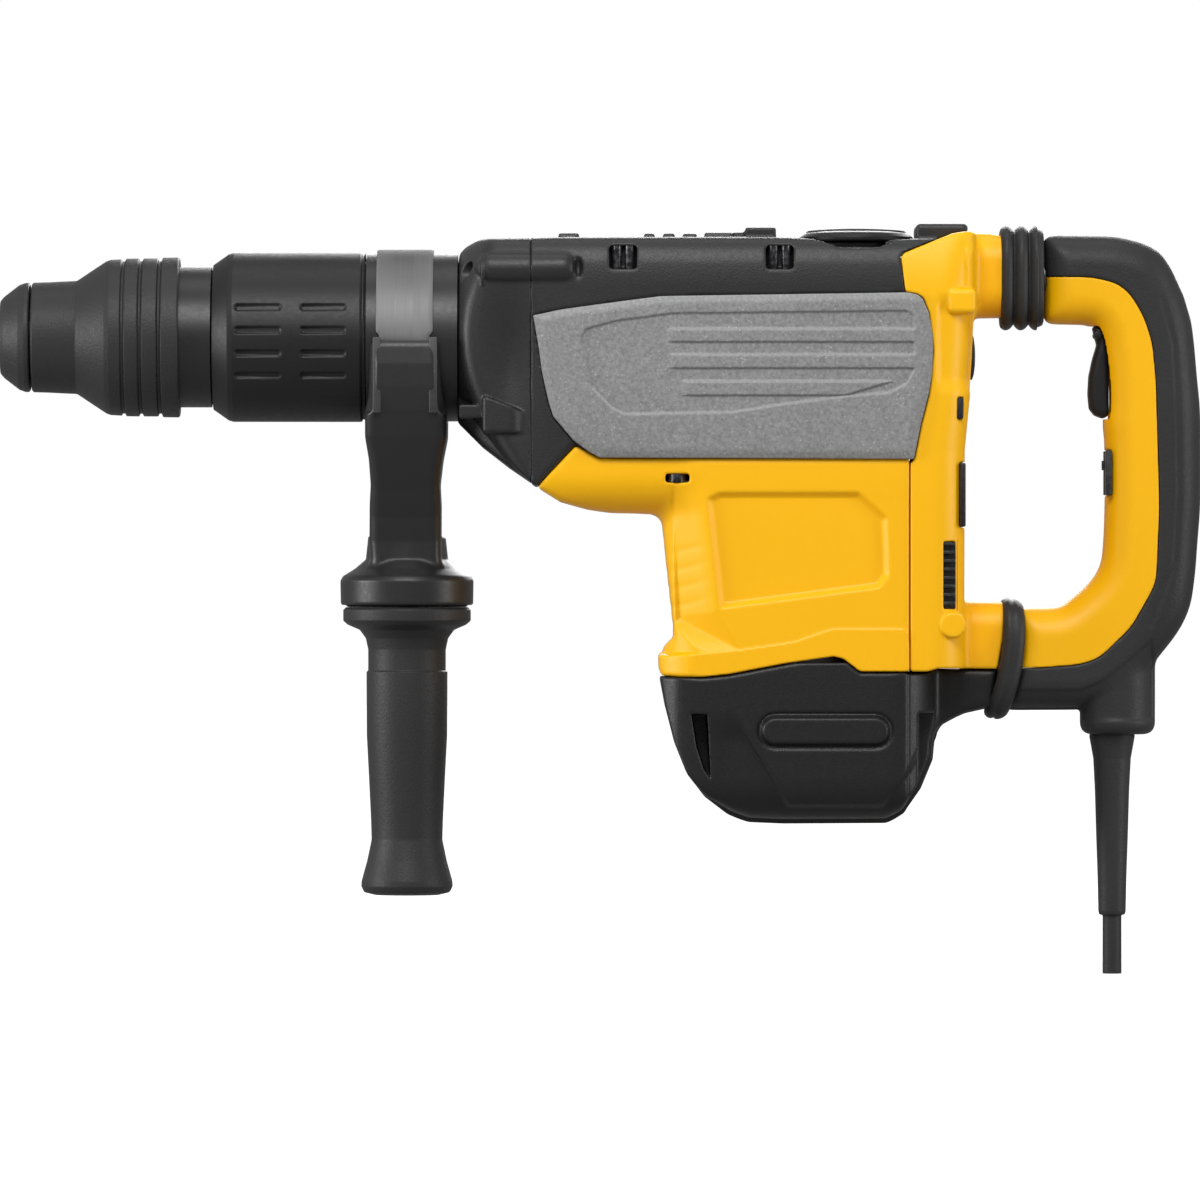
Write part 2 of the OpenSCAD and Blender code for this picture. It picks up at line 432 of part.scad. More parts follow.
// ---- dials ----
module mode_dial() color([0.13, 0.13, 0.14]) union() {
  rod_z(dial_x, 0, 34, 50.4, 8);
  rod_z(dial_x, 0, 50.1, 52.6, 28);
  translate([dial_x - 24.5, -5, 52.6]) cube([49, 10, 1.8]);
}
module speed_dial() color([0.11, 0.11, 0.12]) { translate([0, 0, -9.5]) difference() {
    union() { rod_x(474, 488, 4); rod_x(487.9, 490.5, 13.5); }
    for (i = [0 : 23]) rotate([15 * i, 0, 0]) translate([487, -0.5, 13]) cube([5, 1, 2]);
  } }

// ---- rear handle ----
module dh_outer() polygon([[521.5, 50.7], [557.5, 50.2], [578.5, 44.2], [586, 32.2], [591.5, 20.2], [595, 8.2], [597.5, -21.7], [599.4, -42],
  [599.4, -91], [597.5, -112], [594, -135.7], [588, -147.7], [578.5, -159.7], [560, -176], [540, -185.5], [507.6, -186], [509.4, -172], [512.3, -150], [514.2, -135.2],
  [530, -135.2], [537, -129.7], [544, -123.7], [548.5, -117.7], [552, -100], [552.2, -43], [549, -20], [546.2, 6.2], [521.5, 6.2]]);
module dh_yellow() polygon([[521.5, 30.2], [545.5, 29.7], [558, 26.7], [565, 20.7], [571.5, 9.2], [575.5, -3.2], [577.2, -22.2], [578.2, -56.2],
  [579, -84.7], [577.5, -120.7], [575.5, -126.2], [565, -144.7], [549, -160.2], [539.5, -163.5], [517, -165.2], [510.4, -165.2], [512.3, -150], [514.2, -135.2],
  [530, -135.2], [537, -129.7], [544, -123.7], [548.5, -117.7], [552, -100], [552.2, -43], [549, -20], [546.2, 6.2], [521.5, 6.2]]);
module dh_core() polygon([[525, 27], [545, 26.5], [556, 23.5], [562, 18], [568, 8], [572, -4], [574, -22], [575, -56], [575.5, -84], [574, -119],
  [562, -142], [547, -157], [519, -161], [519, -139], [531, -139], [539, -133], [547, -126], [552, -118], [555.5, -100], [555.7, -43], [552.5, -20], [549.5, 9.8], [525, 9.8]]);
module shell(s) color([0.99, 0.72, 0.12]) difference() {
  union() {
    slab(s > 0 ? 0.05 : -dh_w, s > 0 ? dh_w : -0.05) dh_yellow();
    slab(s > 0 ? 0.05 : -8.6, s > 0 ? 8.6 : -0.05) polygon([[517, -150], [504, -153.4], [497.8, -155], [496.4, -161], [497.8, -167], [504, -168.6], [508, -167], [510.2, -165.1], [517, -165.1]]);
  }
  slab(s > 0 ? -1 : -dh_w + 3, s > 0 ? dh_w - 3 : 1) dh_core();
  slab(-12.1, 12.1) polygon([[540, 5.7], [556, 5.7], [561, -40], [540, -40]]);
  rod_y(504, -20, 20, -161, 4.06);
  rod_y(548.5, -16, 16, 1, 2.06);
  translate([0, 0, 29.5]) rod_x(515, 560, 10.6);
  translate([540, -4, -80]) cube([20, 8, 24]);
}
module handle_shell_left() shell(1);
module handle_shell_right() shell(-1);
module handle_overmold() color([0.11, 0.11, 0.12]) difference() {
  union() {
    slab(-dh_w - 1, dh_w + 1) difference() { dh_outer(); offset(delta = 0.1) dh_yellow(); }
    rod_z(558.7, 0, -198, -160, 18.6);
  }
  slab(-30, 30) offset(delta = 0.1) dh_yellow();
  translate([0, 0, 29.5]) rod_x(515, 531.2, 10.6);
  rod_z(556, 0, -210, -140, 8.5);
}
module upper_bellows() color([0.07, 0.07, 0.07]) rotate([90, 0, 90]) difference() {
  union() {
    translate([0, 29.5, 499.8]) linear_extrude(height = 21.4) rrect(40, 44, 13);
    for (i = [0 : 2]) translate([0, 29.5, 500.6 + 7.1 * i]) linear_extrude(height = 5.2) rrect(46, 49.4, 15);
  }
  translate([0, 29.5, 490]) linear_extrude(height = 40) rrect(30, 34, 8);
}
module handle_spring() color([0.6, 0.6, 0.62]) translate([485, 0, 29.5]) rotate([0, 90, 0]) coil(8.6, 1.4, 44, 7);
module switch_module() color([0.15, 0.15, 0.16]) union() {
  translate([560.8, -9, -46]) cube([10.3, 18, 40.5]);
}
module power_cord() color([0.1, 0.1, 0.11]) union() {
  rod_z(556, 0, -318, -165, cord_r);
  translate([556, 0, 0]) rotate_extrude() polygon([[0, -288.5], [6.4, -288.5], [6.9, -287], [8, -240], [9.2, -212], [11.5, -198.2], [0, -198.2]]);
}
module lock_slider() color([0.1, 0.1, 0.11]) translate([550.9, -3.6, -66.3]) cube([8, 7.2, 4.6]);
module lower_boot() color([0.07, 0.07, 0.07]) translate([503.8, 0, -160.6]) rotate([0, 7.3, 0]) rotate([90, 0, 90]) difference() {
  translate([0, 0, -5.6]) linear_extrude(height = 11.2) rrect(47, 60, 18);
  translate([0, 0, -10]) linear_extrude(height = 20) rrect(33, 46, 12);
}
module trigger() color([0.1, 0.1, 0.11]) union() {
  slab(-11, 11) polygon([[546.5, 4.5], [548.5, -3.5], [545, -18], [544.2, -29], [545, -37], [551.5, -39.2], [554, -36], [554, -3], [552, 4.8]]);
  rod_y(548.5, -15, 15, 1, 2);
}

nose_cap();
tool_holder();
locking_rollers();
sleeve_spring();
hammer_tube();
bevel_ring_gear();
locking_sleeve();
lock_ring();
barrel();
barrel_sleeve();
front_seal();
front_bearing();
front_housing();
spindle_bearing();
gear_housing();
side_cover_left();
side_cover_right();
housing_screws();
cover_screws();
bearing_bridge();
gearcase_floor();
gear_bearings();
motor_bearings();
motor_housing();
stator();
brush_holders();
carbon_brushes();
end_cap();
rear_cover();
control_module();
handle_pivot_pin();
clamp_band();
clamp_bolt();
handle_yoke();
side_grip();
striker();
beat_piece();
piston();
connecting_rod();
wrist_pin();
crankshaft();
crank_gear();
clutch_gear();
bevel_pinion();
motor_shaft();
armature();
commutator();
fan();
mode_dial();
speed_dial();
handle_shell_left();
handle_shell_right();
handle_overmold();
upper_bellows();
handle_spring();
switch_module();
power_cord();
trigger();
lock_slider();
lower_boot();
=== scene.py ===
"""Rotary hammer with a D-shaped rear handle and a side handle hanging under its barrel.

The tool axis is X: the nose is at x = 0 and points to -X, the rear handle ends near x = 600.
+Z is up and y = 0 is the mirror plane. Names with "left" lie on the +Y side.
All lengths are millimetres until a mesh is made; lights, floor material and camera are in metres.
Moulded pieces are distance fields (negative inside) sampled on a grid and skinned.
"""
import math
from functools import reduce

import bmesh
import bpy
import numpy as np
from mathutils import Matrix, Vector

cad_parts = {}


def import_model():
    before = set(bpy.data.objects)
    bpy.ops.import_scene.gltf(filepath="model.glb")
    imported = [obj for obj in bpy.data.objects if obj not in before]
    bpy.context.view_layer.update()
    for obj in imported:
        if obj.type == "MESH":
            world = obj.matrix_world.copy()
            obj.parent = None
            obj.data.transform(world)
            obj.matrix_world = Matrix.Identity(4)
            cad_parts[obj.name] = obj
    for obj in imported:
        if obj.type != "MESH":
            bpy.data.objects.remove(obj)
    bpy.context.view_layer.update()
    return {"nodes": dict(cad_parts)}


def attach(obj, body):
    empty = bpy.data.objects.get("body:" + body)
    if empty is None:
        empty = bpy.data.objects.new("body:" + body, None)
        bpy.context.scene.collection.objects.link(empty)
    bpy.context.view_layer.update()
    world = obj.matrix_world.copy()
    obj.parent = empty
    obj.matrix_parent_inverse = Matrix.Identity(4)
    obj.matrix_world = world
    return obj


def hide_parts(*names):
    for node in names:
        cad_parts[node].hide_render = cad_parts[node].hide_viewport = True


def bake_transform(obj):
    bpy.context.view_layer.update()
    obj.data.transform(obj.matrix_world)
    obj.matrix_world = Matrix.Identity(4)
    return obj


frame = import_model()

MM = 0.001
f32 = np.float32

# ------------------------------------------------------------------ shared places and sizes
HOUSING_STEP = 0.75      # sample spacing of the large housings
SEAM_OVERLAP = 0.15      # each region reaches this far past its drawn border
ROOF_Z = 49.6            # top of the gear case and front housing
CASE_DEPTH = 160         # height of their section, which runs on below the outline
YOKE_X = 203.5           # side handle axis
MODE_DIAL_X = 428
MOTOR_X = 398            # upright motor axis
SPEED_DIAL_Z = -9.5
ARM_Z, ARM_BORE = 29.5, 10.8             # bore through bellows and upper handle arm
PIVOT_X, PIVOT_Z, PIVOT_RADIUS = 504, -161, 4.2    # pin of the lower handle arm
TRIGGER_X, TRIGGER_Z = 548.5, 1          # trigger pivot
CORD_X = 556


# ------------------------------------------------------------------ fields
def fade(start, end, value):
    """Smooth step from 0 at start to 1 at end."""
    t = np.clip((value - start) / (end - start), 0, 1)
    return t * t * (3 - 2 * t)


def bell(value, centre, width):
    return np.exp(-((value - centre) / width) ** 2)


def meet(first, second, blend):
    """Intersection with a smooth blend."""
    h = np.clip(0.5 + 0.5 * (first - second) / blend, 0, 1)
    return second + (first - second) * h + blend * h * (1 - h)


def join(first, second, blend):
    """Union with a smooth blend."""
    return -meet(-first, -second, blend)


def cut(shape, *tools, blend=0):
    for tool in tools:
        shape = meet(shape, -tool, blend) if blend else np.maximum(shape, -tool)
    return shape


def round_corner(past, radius):
    """Intersection of faces with a round edge; past holds distances to faces moved in by radius."""
    inside = np.minimum(reduce(np.maximum, past), 0)
    return inside + np.sqrt(sum(np.maximum(p, 0) ** 2 for p in past)) - radius


def round_meet(first, second, radius):
    return round_corner([first + radius, second + radius], radius)


def rounded_box(axes, *spans, corner=0.0):
    """Box or rectangle: one (low, high) span for each axis."""
    past = [np.abs(axis - (low + high) / 2) - (high - low) / 2 + corner
            for axis, (low, high) in zip(axes, spans)]
    return round_corner(past, corner)


def polygon(across, up, outline):
    """Signed distance to a polygon over broadcast coordinates."""
    corners = np.array(outline, float)
    nearest = None
    sign = None
    for i in range(len(corners)):
        a, b = corners[i], corners[(i + 1) % len(corners)]
        edge_u, edge_v = b - a
        from_u, from_v = across - a[0], up - a[1]
        square = edge_u * edge_u + edge_v * edge_v
        if square < 1e-12:
            continue
        t = np.clip((from_u * edge_u + from_v * edge_v) / square, 0, 1)
        d = (from_u - t * edge_u) ** 2 + (from_v - t * edge_v) ** 2
        nearest = d if nearest is None else np.minimum(nearest, d)
        above = up >= a[1]
        below = up < b[1]
        left = edge_u * from_v > edge_v * from_u
        crossed = (above & below & left) | (~above & ~below & ~left)
        turn = np.where(crossed, -1.0, 1.0)
        sign = turn if sign is None else sign * turn
    return (sign * np.sqrt(nearest)).astype(f32)


def polyline(across, up, points):
    """Distance to an open line."""
    distances = []
    for (u0, v0), (u1, v1) in zip(points, points[1:]):
        du, dv = u1 - u0, v1 - v0
        t = np.clip(((across - u0) * du + (up - v0) * dv) / (du * du + dv * dv), 0, 1)
        distances.append(np.sqrt((across - u0 - t * du) ** 2 + (up - v0 - t * dv) ** 2))
    return np.minimum.reduce(distances)


def blur(field, sigma):
    """Gaussian blur of an (nx, 1, nz) field, sigma in samples."""
    if sigma <= 0:
        return field
    reach = int(math.ceil(3 * sigma))
    kernel = np.exp(-0.5 * (np.arange(-reach, reach + 1) / sigma) ** 2)
    kernel /= kernel.sum()

    def blur_rows(image):
        padded = np.pad(image, ((reach, reach), (0, 0)), mode="edge")
        return sum(kernel[i] * padded[i:i + image.shape[0]] for i in range(2 * reach + 1))

    return blur_rows(blur_rows(field[:, 0, :]).T).T[:, None, :].astype(f32)


class Grid:
    """Samples of a box. A mirrored grid holds only the y > 0 half."""

    def __init__(self, x_span, y_span, z_span, step, mirrored=True):
        spans = (x_span, y_span, z_span)
        self.step, self.mirrored = step, mirrored
        self.count = [int(math.ceil((high - low) / step)) + 1 for low, high in spans]
        self.low = [low for low, _ in spans]
        if mirrored:
            self.low[1] = 0.5 * step
        self.axes = [
            (self.low[i] + step * np.arange(self.count[i])).astype(f32)
            .reshape([-1 if i == k else 1 for k in range(3)]) for i in range(3)]

    def profile(self, outline, softness=0.0):
        """Side outline in (x, z), its corners blurred by softness."""
        x, _, z = self.axes
        return blur(polygon(x, z, outline), softness / self.step)

    def section(self, half_width, z_span, corner):
        """Rounded rectangle in the YZ plane."""
        return rounded_box(self.axes[1:], (-half_width, half_width), z_span, corner=corner)

    def side_rect(self, x_span, z_span, corner):
        """Rounded rectangle in the XZ plane."""
        return rounded_box(self.axes[::2], x_span, z_span, corner=corner)

    def box(self, *spans, corner=0.0):
        return rounded_box(self.axes, *spans, corner=corner)

    def rod_x(self, start, end, radius, y=0, z=0):
        along, v, w = self.axes
        d = np.sqrt((v - y) ** 2 + (w - z) ** 2) - radius
        return np.maximum(d, np.maximum(start - along, along - end))

    def rod_y(self, x, z, start, end, radius):
        u, along, w = self.axes
        d = np.sqrt((u - x) ** 2 + (w - z) ** 2) - radius
        return np.maximum(d, np.maximum(start - along, along - end))

    def rod_z(self, x, start, end, radius):
        u, v, along = self.axes
        d = np.sqrt((u - x) ** 2 + v ** 2) - radius
        return np.maximum(d, np.maximum(start - along, along - end))


CELL = [(i, j, k) for i in (0, 1) for j in (0, 1) for k in (0, 1)]
CELL_EDGES = [(a, b) for a in range(8) for b in range(a + 1, 8)
              if sum(abs(CELL[a][i] - CELL[b][i]) for i in range(3)) == 1]


def surface_nets(field, grid, mirror):
    """Naive surface nets: points and outward quads. mirror adds the y < 0 half."""
    y_low = grid.low[1]
    if mirror:
        field = np.concatenate([field[:, ::-1, :], field], axis=1)
        y_low = -grid.low[1] - grid.step * (grid.count[1] - 1)
    field = np.pad(field, 1, constant_values=1.0)
    origin = np.array([grid.low[0] - grid.step, y_low - grid.step, grid.low[2] - grid.step])
    solid = field < 0
    filled = np.zeros(tuple(s - 1 for s in field.shape), np.int8)
    for i, j, k in CELL:
        filled += solid[i:solid.shape[0] - 1 + i, j:solid.shape[1] - 1 + j,
                        k:solid.shape[2] - 1 + k]
    active = (filled > 0) & (filled < 8)
    ci, cj, ck = np.nonzero(active)
    values = np.stack([field[ci + i, cj + j, ck + k] for i, j, k in CELL], 1)
    # each vertex is the mean of the surface crossings on its cell's edges
    total = np.zeros((len(ci), 3))
    crossings = np.zeros(len(ci))
    corners = np.array(CELL, float)
    for a, b in CELL_EDGES:
        crossed = (values[:, a] < 0) != (values[:, b] < 0)
        t = np.where(crossed,
                     values[:, a] / np.where(crossed, values[:, a] - values[:, b], 1), 0)
        total += (corners[a] + t[:, None] * (corners[b] - corners[a])) * crossed[:, None]
        crossings += crossed
    points = origin + grid.step * (np.stack([ci, cj, ck], 1) + total / crossings[:, None])
    index = np.full(active.shape, -1, np.int32)
    index[ci, cj, ck] = np.arange(len(ci))
    faces = []
    for axis in range(3):
        before, after = [slice(None)] * 3, [slice(None)] * 3
        before[axis], after[axis] = slice(0, -1), slice(1, None)
        first, second = solid[tuple(before)], solid[tuple(after)]
        at = np.nonzero(first != second)
        u, v = (axis + 1) % 3, (axis + 2) % 3
        usable = ((at[u] > 0) & (at[v] > 0)
                  & (at[u] < active.shape[u]) & (at[v] < active.shape[v]))
        at = [a[usable] for a in at]
        inside = first[tuple(at)]

        def cell(back_u, back_v):
            place = [a.copy() for a in at]
            place[u] -= back_u
            place[v] -= back_v
            return index[tuple(place)]

        quads = np.stack([cell(1, 1), cell(0, 1), cell(0, 0), cell(1, 0)], 1)
        quads[~inside] = quads[~inside][:, ::-1]
        faces.append(quads)
    return points, np.concatenate(faces)


# ------------------------------------------------------------------ meshes and objects
MATERIALS = {}


def register(replaces):
    if replaces:
        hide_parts(replaces)


def add_object(name, mesh, finish, body=None, replaces=None):
    """Smooth object in one finish. With a body it also rides that body and takes its slot."""
    mesh.polygons.foreach_set("use_smooth", np.ones(len(mesh.polygons), bool))
    mesh.validate()
    ob = bpy.data.objects.new(name, mesh)
    bpy.context.scene.collection.objects.link(ob)
    mesh.materials.append(MATERIALS[finish])
    if body:
        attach(ob, body)
        register(replaces)
    return ob


def quad_mesh(name, points, faces, finish, **mount):
    mesh = bpy.data.meshes.new(name)
    faces = np.asarray(faces, np.int32)
    mesh.vertices.add(len(points))
    mesh.vertices.foreach_set("co", (np.asarray(points, f32) * MM).ravel())
    mesh.loops.add(faces.size)
    mesh.loops.foreach_set("vertex_index", faces.ravel())
    mesh.polygons.add(len(faces))
    mesh.polygons.foreach_set("loop_start", np.arange(0, faces.size, 4, dtype=np.int32))
    mesh.update(calc_edges=True)
    return add_object(name, mesh, finish, **mount)


def skin(name, field, grid, finish, body, replaces=None):
    points, faces = surface_nets(field.astype(f32), grid, grid.mirrored)
    quad_mesh(name, points, faces, finish, body=body, replaces=replaces)


def skin_pair(stem, ending, field, grid, finish, body):
    """The +Y piece and its mirror image, as two objects."""
    points, faces = surface_nets(field.astype(f32), grid, False)
    for side in ("left", "right"):
        node = stem + "_" + side
        quad_mesh(node + "_" + ending, points, faces, finish, body=body, replaces=node)
        points, faces = points * np.array([1, -1, 1]), faces[:, ::-1]


def rounded_cuboid(name, low, high, radius, finish, body, side=1):
    """Box with rounded edges. side = -1 puts its mirror image at -Y."""
    if side < 0:
        low, high = (low[0], -high[1], low[2]), (high[0], -low[1], high[2])
    bm = bmesh.new()
    bmesh.ops.create_cube(bm, size=1.0)
    for v in bm.verts:
        v.co = Vector([(low[i] + high[i]) / 2 + v.co[i] * (high[i] - low[i])
                       for i in range(3)]) * MM
    bmesh.ops.bevel(bm, geom=list(bm.edges), offset=radius * MM, segments=3, profile=0.5,
                    affect="EDGES")
    mesh = bpy.data.meshes.new(name)
    bm.to_mesh(mesh)
    bm.free()
    add_object(name, mesh, finish, body=body)


def ring_faces(rings, around, closed=True):
    """Quads between successive rings; closed joins the last ring to the first."""
    i = np.arange(rings if closed else rings - 1)[:, None]
    j = (i + 1) % rings
    k = np.arange(around)[None, :]
    after = (k + 1) % around
    quads = [i * around + k, j * around + k, j * around + after, i * around + after]
    return np.stack(quads, -1).reshape(-1, 4)


def outward(points, faces, triangles=2):
    """Turn the faces by the sign of the volume, summed over this many triangles per quad."""
    a, b, c, d = (points[faces[:, i]] for i in range(4))
    volume = np.einsum("ij,ij->i", a, np.cross(b, c)).sum()
    if triangles == 2:
        volume += np.einsum("ij,ij->i", a, np.cross(c, d)).sum()
    return faces[:, ::-1] if volume < 0 else faces


def ring_mesh(name, rings, finish, triangles=2, **mount):
    """Closed surface through an array of rings, shaped (rings, around, 3)."""
    points = rings.reshape(-1, 3)
    faces = outward(points, ring_faces(*rings.shape[:2]), triangles)
    return quad_mesh(name, points, faces, finish, **mount)


def turn_angles(segments):
    return np.linspace(0, 2 * math.pi, segments, endpoint=False)


def around_x(position, radius, angles, z=0):
    return np.stack([position + 0 * radius, radius * np.cos(angles),
                     radius * np.sin(angles) + z], -1)


def round_outline(outline, steps=5):
    """Round each (radius, position, corner) of a closed outline, limited by its edge lengths."""
    points = []
    for i in range(len(outline)):
        before, here, after = (np.array(outline[(i + k) % len(outline)][:2], float)
                               for k in (-1, 0, 1))
        corner = outline[i][2]
        to_before, to_after = before - here, after - here
        len_before, len_after = np.linalg.norm(to_before), np.linalg.norm(to_after)
        if corner <= 0 or len_before < 1e-6 or len_after < 1e-6:
            points.append(tuple(here))
            continue
        to_before, to_after = to_before / len_before, to_after / len_after
        angle = math.acos(max(-1, min(1, float(to_before @ to_after))))
        if angle > math.pi - 0.05:
            points.append(tuple(here))
            continue
        t = min(corner / math.tan(angle / 2), len_before * 0.48, len_after * 0.48)
        for k in range(steps + 1):
            u = k / steps
            p = ((1 - u) ** 2 * (here + to_before * t) + 2 * u * (1 - u) * here
                 + u ** 2 * (here + to_after * t))
            points.append((float(p[0]), float(p[1])))
    return points


def lathe(name, outline, finish, segments, upright_x=None, **mount):
    """Revolve a (radius, position, corner) outline about X, or about the upright at upright_x."""
    radius, position = np.array(round_outline(outline)).T[:, :, None]
    angles = turn_angles(segments)
    radius = radius + 0 * angles
    if upright_x is None:
        rings = around_x(position, radius, angles)
    else:
        rings = np.stack([upright_x + radius * np.cos(angles), radius * np.sin(angles),
                          position + 0 * radius], -1)
    ring_mesh(name, rings, finish, **mount)


def relief(name, outline, inner, height, finish, segments, step, z=0, **mount):
    """Turned skin about X with relief height(x, angle), closed by a plain inner outline."""
    rounded = round_outline(outline, steps=4)
    points = [rounded[0]]
    for a, b in zip(rounded[:-1], rounded[1:]):
        parts = max(1, int(math.ceil(math.hypot(a[0] - b[0], a[1] - b[1]) / step)))
        points += [(a[0] + (b[0] - a[0]) * j / parts, a[1] + (b[1] - a[1]) * j / parts)
                   for j in range(1, parts + 1)]
    angles = turn_angles(segments)
    radius, position = (column[:, None] + 0 * angles for column in np.array(points).T)
    radius = radius + height(position, angles + 0 * radius)
    in_radius, in_position = (column[:, None] + 0 * angles for column in np.array(inner).T)
    rings = around_x(np.concatenate([position, in_position]),
                     np.concatenate([radius, in_radius]), angles, z)
    ring_mesh(name, rings, finish, **mount)


# ------------------------------------------------------------------ materials
def srgb(red, green, blue):
    def linear(c):
        return c / 12.92 if c <= 0.04045 else ((c + 0.055) / 1.055) ** 2.4
    return (linear(red / 255), linear(green / 255), linear(blue / 255), 1.0)


def scaled(colour, factor):
    return tuple(c * factor for c in colour[:3]) + (1,)


class Shader:
    """A new material, with short ways to add nodes. Inputs take a socket or a plain value."""

    def __init__(self, name):
        material = MATERIALS[name] = bpy.data.materials.new(name)
        material.use_nodes = True
        self.tree = material.node_tree
        self.coords = self.node("TexCoord", output="Object")

    def feed(self, socket, value):
        if isinstance(value, bpy.types.NodeSocket):
            self.tree.links.new(value, socket)
        else:
            socket.default_value = value

    def node(self, kind, *inputs, output=0, **settings):
        """Add a node: inputs fill its first sockets, settings name sockets or properties."""
        new = self.tree.nodes.new("ShaderNode" + kind)
        for key, value in settings.items():
            if key in new.inputs:
                self.feed(new.inputs[key], value)
            else:
                setattr(new, key, value)
        for i, value in enumerate(inputs):
            self.feed(new.inputs[i], value)
        return new.outputs[output]

    def noise(self, **settings):
        return self.node("TexNoise", self.coords, **settings)

    def math(self, operation, first, second):
        return self.node("Math", first, second, operation=operation)

    def ramp(self, factor, *stops):
        """Stops are (position, grey or RGBA)."""
        new = self.tree.nodes.new("ShaderNodeValToRGB")
        self.feed(new.inputs[0], factor)
        elements = new.color_ramp.elements
        while len(elements) < len(stops):
            elements.new(0.5)
        for element, (position, colour) in zip(elements, stops):
            element.position = position
            element.color = colour if isinstance(colour, tuple) else (colour,) * 3 + (1,)
        return new.outputs["Color"]

    def mix(self, factor, under, over, blend_type="MIX"):
        new = self.tree.nodes.new("ShaderNodeMix")
        new.data_type = "RGBA"
        new.blend_type = blend_type
        for i, value in ((0, factor), (6, under), (7, over)):
            self.feed(new.inputs[i], value)
        return new.outputs[2]

    def bump(self, height, strength, distance):
        return self.node("Bump", Strength=strength, Distance=distance, Height=height)

    def surface(self, settings):
        principled = self.tree.nodes["Principled BSDF"]
        for key, value in settings.items():
            self.feed(principled.inputs[key], value)


def plastic(name, low, high, roughness, worn=None, grain=1500, bump=0.12, wear=0.35,
            specular=0.45, metallic=0.0):
    """Grained moulding clouded between two sRGB colours, paler on worn edges."""
    shader = Shader(name)
    low, high = srgb(*low), srgb(*high)
    worn = srgb(*worn) if worn else tuple(min(1, c * 1.7 + 0.02) for c in low[:3]) + (1,)
    clouds = shader.noise(Scale=6.0, Detail=5.0, Roughness=0.55)
    colour = shader.ramp(clouds, (0.3, low), (0.72, high))
    pointiness = shader.node("NewGeometry", output="Pointiness")
    edges = shader.ramp(pointiness, (0.512, 0), (0.60, 1))
    scratches = shader.noise(Scale=420.0, Detail=6.0, Roughness=0.7)
    patches = shader.ramp(scratches, (0.42, 0), (0.66, 1))
    wear_and_top_highlight = shader.math("MULTIPLY", shader.math("MULTIPLY", edges, patches), wear)
    colour = shader.mix(wear_and_top_highlight, colour, worn)
    # painted shade: slight darkening in the concave corners
    hollows = shader.ramp(pointiness, (0.40, 1), (0.492, 0))
    painted_hollow_shade = shader.math("MULTIPLY", hollows, 0.35)
    colour = shader.mix(painted_hollow_shade, colour, scaled(low, 0.55))
    fine = shader.noise(Scale=grain, Detail=3.0, Roughness=0.6)
    cells = shader.node("TexVoronoi", shader.coords, Scale=grain * 0.7, output="Distance")
    waves = shader.math("MULTIPLY", shader.noise(Scale=38.0, Detail=2.0), 1.2)
    height = shader.math("ADD", shader.math("ADD", fine, cells), waves)
    shader.surface({
        "Base Color": colour,
        "Normal": shader.bump(height, strength=bump, distance=0.00025),
        "Roughness": shader.ramp(scratches, (0.25, roughness - 0.07),
                                 (0.8, min(1, roughness + 0.09))),
        "Specular IOR Level": specular,
        "Metallic": metallic})


def speckle(name):
    """Grey moulded cover with a coarse pale and dark sparkle."""
    shader = Shader(name)
    clouds = shader.noise(Scale=9.0, Detail=3.0)
    colour = shader.ramp(clouds, (0.3, srgb(127, 127, 127)), (0.7, srgb(134, 134, 134)))
    mottle = shader.noise(Scale=620.0, Detail=4.0, Roughness=0.75)
    shades = shader.ramp(mottle, (0.30, 0.30), (0.50, 0.5), (0.70, 0.72))
    colour = shader.mix(0.8, colour, shades, "OVERLAY")
    cells = shader.node("TexVoronoi", shader.coords, Scale=420.0, Randomness=1.0,
                        output="Distance")
    dots = shader.ramp(cells, (0.10, 1), (0.24, 0))
    patches = shader.ramp(shader.noise(Scale=160.0, Detail=2.0), (0.42, 0), (0.58, 1))
    sparkle = shader.math("MULTIPLY", shader.math("MULTIPLY", dots, patches), 0.42)
    colour = shader.mix(sparkle, colour, srgb(205, 206, 208))
    # painted highlight: upward-facing faces of the embossing made paler
    normal = shader.node("NewGeometry", output="Normal")
    upward = shader.node("SeparateXYZ", normal, output="Z")
    wear_and_top_highlight = shader.ramp(upward, (0.12, 0), (0.5, 0.20))
    height = shader.math("ADD", mottle, cells)
    shader.surface({
        "Base Color": shader.mix(wear_and_top_highlight, colour, srgb(198, 199, 200)),
        "Normal": shader.bump(height, strength=0.10, distance=0.00025),
        "Roughness": 0.62})


def metal(name, colour, roughness, stretch, bump=0.05, anisotropic=0.3):
    """Bare metal; stretch is the grain frequency along x, y and z."""
    shader = Shader(name)
    colour = srgb(*colour)
    stretched = shader.node("Mapping", shader.coords, Scale=stretch)
    grain = shader.node("TexNoise", stretched, Scale=1.0, Detail=6.0, Roughness=0.65)
    clouds = shader.ramp(shader.noise(Scale=26.0, Detail=5.0), (0.3, 0.75), (0.7, 1.1))
    streaks = shader.ramp(grain, (0.25, scaled(colour, 0.72)), (0.75, colour))
    shader.surface({
        "Base Color": shader.mix(0.6, streaks, clouds, "MULTIPLY"),
        "Roughness": shader.ramp(grain, (0.2, max(0.05, roughness - 0.1)),
                                 (0.8, roughness + 0.12)),
        "Normal": shader.bump(grain, strength=bump, distance=0.0002),
        "Metallic": 1.0,
        "Anisotropic": anisotropic})


